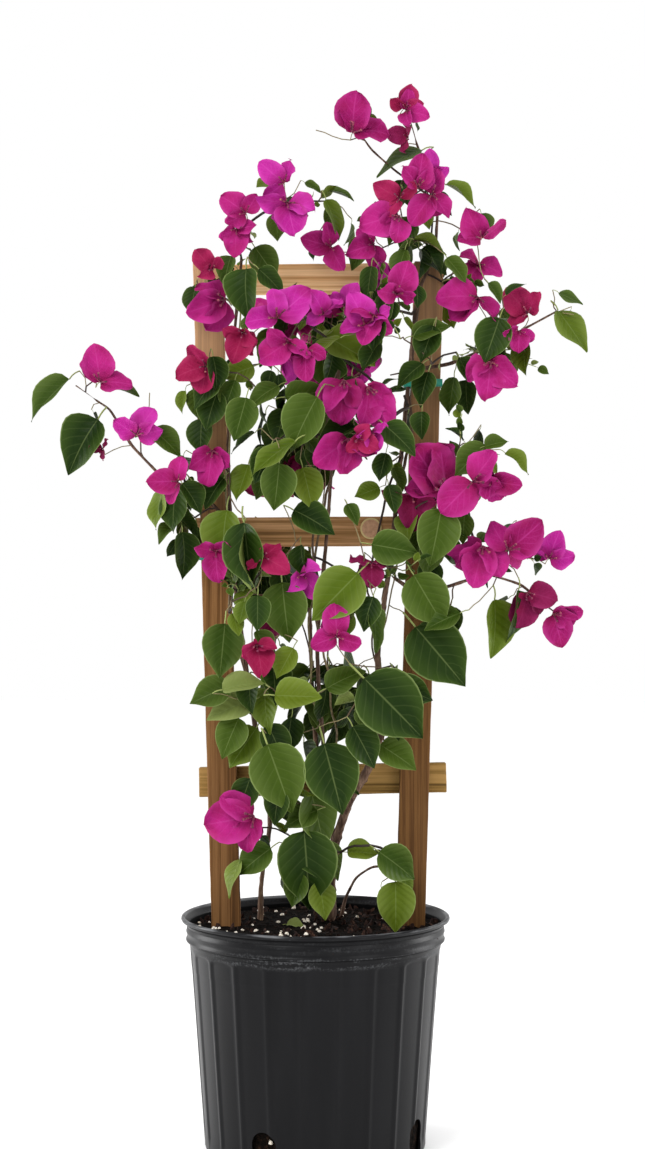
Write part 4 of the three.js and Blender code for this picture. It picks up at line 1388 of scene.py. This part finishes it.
class Growth:
    # the branching rule: every new twig springs from the nearest wood that heads its way
    def __init__(self, courses):
        self.draw = random.Random(growth["seed"])
        noise.seed_set(growth["seed"])    # noise_vector starts from the clock otherwise
        self.places = []      # the points of all wood, with their headings, parents and loads
        self.headings = []
        self.parents = []
        self.loads = []
        self.closed = []      # 1 where nothing more may spring
        self.chains = []
        self.pedicels = []
        self.canes = []
        self.leaves = {tone: [] for tone in leafTones}
        self.bracts = {tone: [] for tone in bractTones}
        self.tubes = []
        self.shown = []       # middles and reaches of the large leaves and flowers
        self.laid = {}
        for name, course in courses.items():
            self.addCanes(course, cane["counts"].get(name, 0))
            before = -1
            for i in range(0, len(course), 3):
                ahead = course[min(i + 2, len(course) - 1)][0] - course[max(i - 2, 0)][0]
                before = self.addPoint(course[i][0], ahead.normalized(), before)

    def addPoint(self, place, heading, parent):
        self.places.append(place)
        self.headings.append(heading)
        self.parents.append(parent)
        self.loads.append(0)
        self.closed.append(0)
        return len(self.places) - 1

    # thinner stems that leave a bough, wander beside it and come back
    def addCanes(self, course, count):
        draw = self.draw
        heading = (course[-1][0] - course[0][0]).normalized()
        side = heading.orthogonal().normalized()
        other = heading.cross(side)
        for _ in range(count):
            first = draw.randrange(0, len(course) // 4)
            last = len(course) - 1 - draw.randrange(0, len(course) // 4)
            phase = draw.uniform(0, anyTurn)
            turns = draw.uniform(*cane["turns"])
            away = draw.uniform(*cane["away"]) * mm
            stout = draw.uniform(*cane["stoutness"])
            age = draw.uniform(*cane["age"])
            row = []
            for i in range(first, last + 1, cane["points"]):
                share = (i - first) / (last - first)
                angle = phase + math.tau * turns * share
                out = away * math.sin(math.pi * share) ** 0.6
                place = course[i][0] + (side * math.cos(angle) + other * math.sin(angle)) * out
                place = place + noise.noise_vector(place * 26) * 6 * mm + noise.noise_vector(place * 95) * mm
                row.append((place, (stout - 0.5 * share) * mm, age - 0.3 * share))
            self.canes.append(row)
            before = -1
            for (a, _, _), (b, _, _) in zip(row, row[1:]):
                before = self.addPoint(b, (b - a).normalized(), before)

    # the point that a twig to this place should spring from: near, heading its way and not closed
    def nearest(self, target):
        offsets = np.array(target) - np.array(self.places)
        distance = np.linalg.norm(offsets, axis=1)
        agree = (offsets * np.array(self.headings)).sum(1) / np.maximum(distance, 1e-6)
        return int(np.argmin(distance * (1.35 - 0.35 * agree) + np.array(self.closed)))

    def growTo(self, target):
        start = self.nearest(target)
        origin = self.places[start]
        gap = target - origin
        if gap.length < 3 * mm:
            self.loads[start] += 1
            return start
        first = (self.headings[start] * growth["startPull"] + gap.normalized()).normalized()
        last = (gap.normalized() + Vector((0, 0, -0.25))).normalized()
        reach = gap.length * growth["curve"]
        a, b = origin + first * reach, target - last * reach
        steps = max(2, round(gap.length / growth["spacing"]))
        drift = Vector((self.draw.uniform(-50, 50), 0, 0))
        chain = [start]
        for i in range(1, steps + 1):
            t = i / steps
            u = 1 - t
            p = origin * u ** 3 + a * (3 * u * u * t) + b * (3 * u * t * t) + target * t ** 3
            p = p + noise.noise_vector(p * 34 + drift) * growth["wander"] * math.sin(math.pi * t)
            chain.append(self.addPoint(p, (p - self.places[chain[-1]]).normalized(), chain[-1]))
        self.chains.append(chain)
        self.loads[chain[-1]] += 1
        return chain[-1]

    # a twig whose flower has dropped; nothing else springs from it
    def addBareTwig(self, target):
        self.growTo(self.within(target))
        for point in self.chains[-1][1:]:
            self.closed[point] = 1

    # the places of a mass's large leaves and flowers, found by shares of its box on its front skin
    def layOut(self, name, plan):
        mesh = frame["nodes"][name].data
        skin = BVHTree.FromPolygons([v.co for v in mesh.vertices], [p.vertices for p in mesh.polygons])
        low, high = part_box(name)
        middle = (low + high) / 2
        size = high - low

        def frontPoint(across, up):
            x, z = low.x + size.x * across, low.z + size.z * up
            hit = skin.ray_cast(Vector((x, low.y - 0.05, z)), -forwards)[0]
            return Vector((x, hit.y + 5 * mm if hit else middle.y - size.y * 0.15, z))

        jobs = []
        for across, up, length, bearing, roll, tone in plan.get("bigLeaves", []):
            jobs.append((self.addBigLeaf, frontPoint(across, up), bearing, roll, length * mm, tone))
        for across, up, length, bearing, tone, *sides in plan.get("bigFlowers", []):
            place = frontPoint(across, up) + forwards * growth["flowersAhead"]
            jobs.append((self.addBigFlower, place, bearing, sides, length * mm, tone))
        for across, up in plan.get("bareTips", []):
            jobs.append((self.addBareTwig, frontPoint(across, up)))
        self.shown += [(job[1], job[4] * growth["clear"]) for job in jobs if len(job) > 2]
        self.laid[name] = (skin, middle, jobs)

    # whether something small at this place would stand before a large leaf or flower
    def hides(self, place):
        for centre, reach in self.shown:
            gap = place - centre
            if math.hypot(gap.x, gap.z) < reach and growth["clearFront"] < gap.y < growth["clearBack"]:
                return True
        return False

    # keeps a place near the limits of the CAD box
    def within(self, place):
        return Vector([min(max(c, low - out), high + out)
                       for c, low, high, out in zip(place, cadLow, cadHigh, growth["margin"])])

    # one of a form's shapes at a place: what the node tree takes for it
    def blade(self, place, towards, face, length, form):
        pick = self.draw.randrange(form["variants"])
        return place, bladeTurn(towards, face), length, pick, self.draw.uniform(*growth["tints"])

    def addLeaf(self, centre, towards, face, length, tone):
        tip = self.within(centre + towards * length * 0.5)
        foot = tip - towards * length * (1 + leafForm["stalk"])
        end = self.places[self.growTo(foot)]
        self.leaves[tone].append(self.blade(end, tip - end, face, length, leafForm))

    # a large leaf whose bearing and roll are given; its upper face is turned up where it can be
    def addBigLeaf(self, centre, bearing, roll, length, tone):
        angle = math.radians(bearing)
        towards = Vector((math.cos(angle), self.draw.uniform(-0.25, 0.05), math.sin(angle))).normalized()
        faces = [rotated(forwards, math.radians(turn), towards) for turn in (roll, -roll)]
        upper, under = sorted(faces, key=lambda f: -f.z)
        face = upper if upper.z - under.z > 0.1 else self.draw.choice(faces)
        self.addLeaf(centre, towards, face, length, tone)

    # the twig and stalk that carry a flower
    def addPedicel(self, foot, away):
        joint = foot - away.normalized() * flower["pedicel"]
        end = self.places[self.growTo(joint)]
        bow = (end + foot) / 2 + Vector((0, 0, 1.2 * mm))
        radius = flower["pedicelRadius"]
        self.pedicels.append([(end, radius, 0.2), (bow, 0.9 * radius, 0.1), (foot, radius, 0.1)])

    def addBract(self, foot, towards, face, size, tone):
        for _ in range(3):
            towards = (self.within(foot + towards * size) - foot).normalized()
        self.bracts[tone].append(self.blade(foot, towards, face, size, bractForm))

    def addTube(self, foot, towards, face, size):
        pick = self.draw.randrange(tubeForm["variants"])
        self.tubes.append((foot, bladeTurn(towards, face), size, pick, 0.5))

    # a large flower seen from the front: its largest bract on a given bearing, one to each side
    # (turned from it by the angles in sides, if given), and one behind
    def addBigFlower(self, foot, bearing, sides, length, tone):
        draw = self.draw
        foot = self.within(foot)
        self.addPedicel(foot, Vector((draw.uniform(-0.5, 0.5), -0.8, 0.4)))
        turns = sides or (draw.uniform(*flower["sideTurns"]), -draw.uniform(*flower["sideTurns"]))
        for k, turn in enumerate((0, *turns, draw.uniform(-60, 60))):
            angle = math.radians(bearing + turn)
            ahead = 0.9 if k == 3 else draw.uniform(-0.35 if k == 0 or sides else -1.0, 0.1)
            towards = Vector((math.cos(angle), ahead, math.sin(angle))).normalized()
            least, most = (0, 20) if k == 0 else (10, 45) if sides else (15, 65)
            roll = draw.uniform(least, most)
            face = rotated(forwards, math.radians(roll * draw.choice((-1, 1))), towards)
            size = length * (0.9 if k == 0 else draw.uniform(0.58, 0.8) + (0.02 if sides else 0))
            self.addBract(foot + towards * flower["heart"], towards, face, size, tone)
            if k < 3:
                lean = towards * 0.5 + forwards * 0.8
                self.addTube(foot, lean, Vector((0, 0, 1)), length * flower["tubeLength"])

    # a young shoot: a short stem that curls away from its twig, with a few small leaves
    def addShoot(self, place):
        draw = self.draw
        end = self.growTo(self.within(place))
        heading = (self.headings[end] + unit(draw) * 0.7 + Vector((0, -0.4, 0.3))).normalized()
        spot = self.places[end]
        stem = [(spot, 0.75 * mm, 0.1)]
        inTheWay = self.hides(spot)
        for k in range(growth["shootJoints"]):
            heading = (heading + unit(draw) * 0.5).normalized()
            spot = self.within(spot + heading * growth["shootStep"])
            towards = (heading + unit(draw) * 0.9).normalized()
            tone = draw.choice(growth["youngTones"])
            face = unit(draw) + Vector((0, 0, 0.6))
            leaf = self.blade(spot, towards, face, draw.uniform(*growth["shootLeaf"]) * mm, leafForm)
            inTheWay = inTheWay or self.hides(spot)
            if not inTheWay:
                stem.append((spot, (0.7 - 0.07 * k) * mm, 0.0))
                self.leaves[tone].append(leaf)
        if len(stem) > 1:
            self.pedicels.append(stem)

    # a flower of three bracts about an axis, more or less open, each with its slender true flower
    def addFlower(self, centre, axis, width, tone):
        openness = self.draw.uniform(*flower["openness"])
        length = width * (1.0 - 0.33 * openness)
        foot = self.within(centre - axis * length * 0.35)
        self.addPedicel(foot, axis * 0.8 + Vector((0, 0, 0.35)))
        side = rotated(axis.orthogonal().normalized(), self.draw.uniform(0, math.tau), axis)
        for k in range(3):
            around = rotated(side, math.tau * k / 3 + self.draw.uniform(*flower["uneven"]), axis)
            angle = openness + self.draw.uniform(*flower["uneven"])
            towards = axis * math.cos(angle) + around * math.sin(angle)
            face = axis * math.sin(angle) - around * math.cos(angle)
            size = length * self.draw.uniform(0.88, 1.08)
            self.addBract(foot + around * flower["heart"], towards, face, size, tone)
            lean = axis * math.cos(angle * 0.5) + around * math.sin(angle * 0.5)
            self.addTube(foot, lean, axis, size * 0.5)

    # fills one mass: its large leaves and flowers, and what the rule deals out over its skin,
    # in the order of their distance from the wood that carries it
    def fillMass(self, name, plan):
        skin, middle, jobs = self.laid[name]
        draw = self.draw = random.Random(f"{name} {growth['seed']}")
        outside = forwards if middle.y < growth["backBegins"] else -forwards
        turn = draw.uniform(0, anyTurn)
        count = plan["leaves"]
        for i in range(count):
            z = 1 - 2 * (i + 0.5) / count
            angle = i * growth["goldenAngle"] + turn + draw.uniform(-0.4, 0.4)
            flat = math.sqrt(1 - z * z)
            out = Vector((math.cos(angle) * flat, math.sin(angle) * flat, z))
            hit = skin.ray_cast(middle, out)[0]
            if hit is None:
                continue
            place = middle.lerp(hit, draw.uniform(0.62, 1.0) - 0.3 * max(0, out.dot(outside)))
            if self.hides(place):
                place.y += growth["setBack"]
            towards = Vector((0, 0, -0.95)) + out * draw.uniform(0.2, 0.9) + unit(draw) * 0.5
            face = out * 0.7 + outside * 0.5 + Vector((0, 0, 0.35)) + unit(draw) * 0.45
            length = plan["length"] * draw.uniform(0.7, 1.3) * mm
            tone = draw.choice(growth["leafTones"])
            jobs.append((self.addLeaf, place, towards.normalized(), face, length, tone))
        for i in range(plan.get("sprays", 0)):
            out = (unit(draw) + outside * 0.3).normalized()
            hit = skin.ray_cast(middle, out)[0]
            if hit is None:
                continue
            tone = draw.choice(growth["bractTones"])
            for _ in range(draw.choice((1, 2, 2, 3))):
                place = middle.lerp(hit, draw.uniform(0.75, 1.0)) + unit(draw) * 14 * mm
                axis = (out * 0.8 + outside * 0.4 + unit(draw) * 0.7).normalized()
                jobs.append((self.addFlower, place, axis, draw.uniform(*flower["width"]) * mm, tone))
        for i in range(plan.get("shoots", 0)):
            hit = skin.ray_cast(middle, (unit(draw) + outside * 0.8).normalized())[0]
            if hit:
                jobs.append((self.addShoot, middle.lerp(hit, draw.uniform(0.3, 0.75))))
        root = self.places[self.nearest(middle)]
        for add, place, *look in sorted(jobs, key=lambda job: (job[1] - root).length):
            add(place, *look)

    # one yellowing leaf that lies on the soil
    def addFallenLeaf(self):
        x, y = growth["fallenLeaf"]
        place = Vector((x, y, soilHeight(x, y) + 2 * mm))
        turn = bladeTurn(Vector((1, -0.3, 0.1)), Vector((0.1, -0.5, 1)))
        self.leaves["young"].append((place, turn, growth["fallenLength"], 3, 0.7))

    # small leaves at the joints of the twigs, on alternate sides
    def addSideLeaves(self):
        draw = self.draw
        for chain in self.chains:
            for i, point in enumerate(chain[1:-2]):
                if draw.random() > growth["sideLeaf"]:
                    continue
                heading = self.headings[point]
                place = self.places[point]
                side = heading.cross(Vector((0, 1, 0.2))).normalized() * (1 if i % 2 else -1)
                towards = (heading * 0.6 + side + unit(draw) * 0.5 + Vector((0, 0.3, -0.2))).normalized()
                face = Vector((0, 0, 1)) + unit(draw) * 0.7
                tone = draw.choice(growth["youngTones"])
                length = draw.uniform(*growth["sideLeafLength"]) * mm
                towards = self.within(place + towards * length) - place
                leaf = self.blade(place, towards, face, length, leafForm)
                if not self.hides(place + towards * 0.6):
                    self.leaves[tone].append(leaf)

    # the twigs as chains whose thickness follows the leaves that each carries
    def twigChains(self):
        for point in range(len(self.places) - 1, -1, -1):
            if self.parents[point] >= 0:
                self.loads[self.parents[point]] += self.loads[point]
        rows = []
        for chain in self.chains:
            row = []
            for point in chain:
                load = self.loads[chain[1]] if point == chain[0] else self.loads[point]
                radius = min(growth["finest"] * max(1, load) ** growth["thickening"], growth["thickest"])
                row.append((self.places[point], radius, min(1, 0.12 + 0.13 * load)))
            rows.append(row)
        return rows


def makeFoliage(courses, spread, sweep):
    plant = Growth(courses)
    middles = {name: sum(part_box(name), Vector()) / 2 for name in masses}
    reach = {name: (plant.places[plant.nearest(middle)] - middle).length for name, middle in middles.items()}
    for name, plan in masses.items():
        plant.layOut(name, plan)
    for name in sorted(masses, key=reach.get):
        plant.fillMass(name, masses[name])
    plant.addSideLeaves()
    plant.addFallenLeaf()
    print("grown:", len(plant.chains), "twigs,", sum(len(v) for v in plant.leaves.values()), "leaves,",
          len(plant.tubes) // 3, "flowers")
    bark = twigBark()
    chains = plant.twigChains() + plant.pedicels + plant.canes
    addPiece("twigs", runTree(chainsMesh("chains", chains), sweep, {"Sides": 6, "Material": bark}),
             bark, list(masses), crease=60)
    leaves = shapeShelf("leafShape", leafShapes())
    bracts = shapeShelf("bractShape", bractShapes())
    tubes = shapeShelf("tubeShape", tubeShapes())
    kinds = [(f"leaves_{tone}", plant.leaves[tone], leaves, leafSkin(tone, *colours), "foliage", 180)
             for tone, colours in leafTones.items()]
    kinds += [(f"bracts_{tone}", plant.bracts[tone], bracts, bractPaper(tone, *colours), "blossom", 180)
              for tone, colours in bractTones.items()]
    kinds += [("flower_tubes", plant.tubes, tubes, tubeSkin(), "blossom", 60)]
    for name, rows, shapes, material, slot, crease in kinds:
        mesh = runTree(pointsMesh("points", rows), spread, {"Shapes": shapes, "Material": material})
        addPiece(name, mesh, material, list(masses), crease=crease)
    for shelf in (leaves, bracts, tubes):
        clearShelf(shelf)


makeStudio()
makePot()
makeSoil(strewTree())
makeTrellis()
makeFoliage(makeLimbs(), spreadTree(), stemTree())
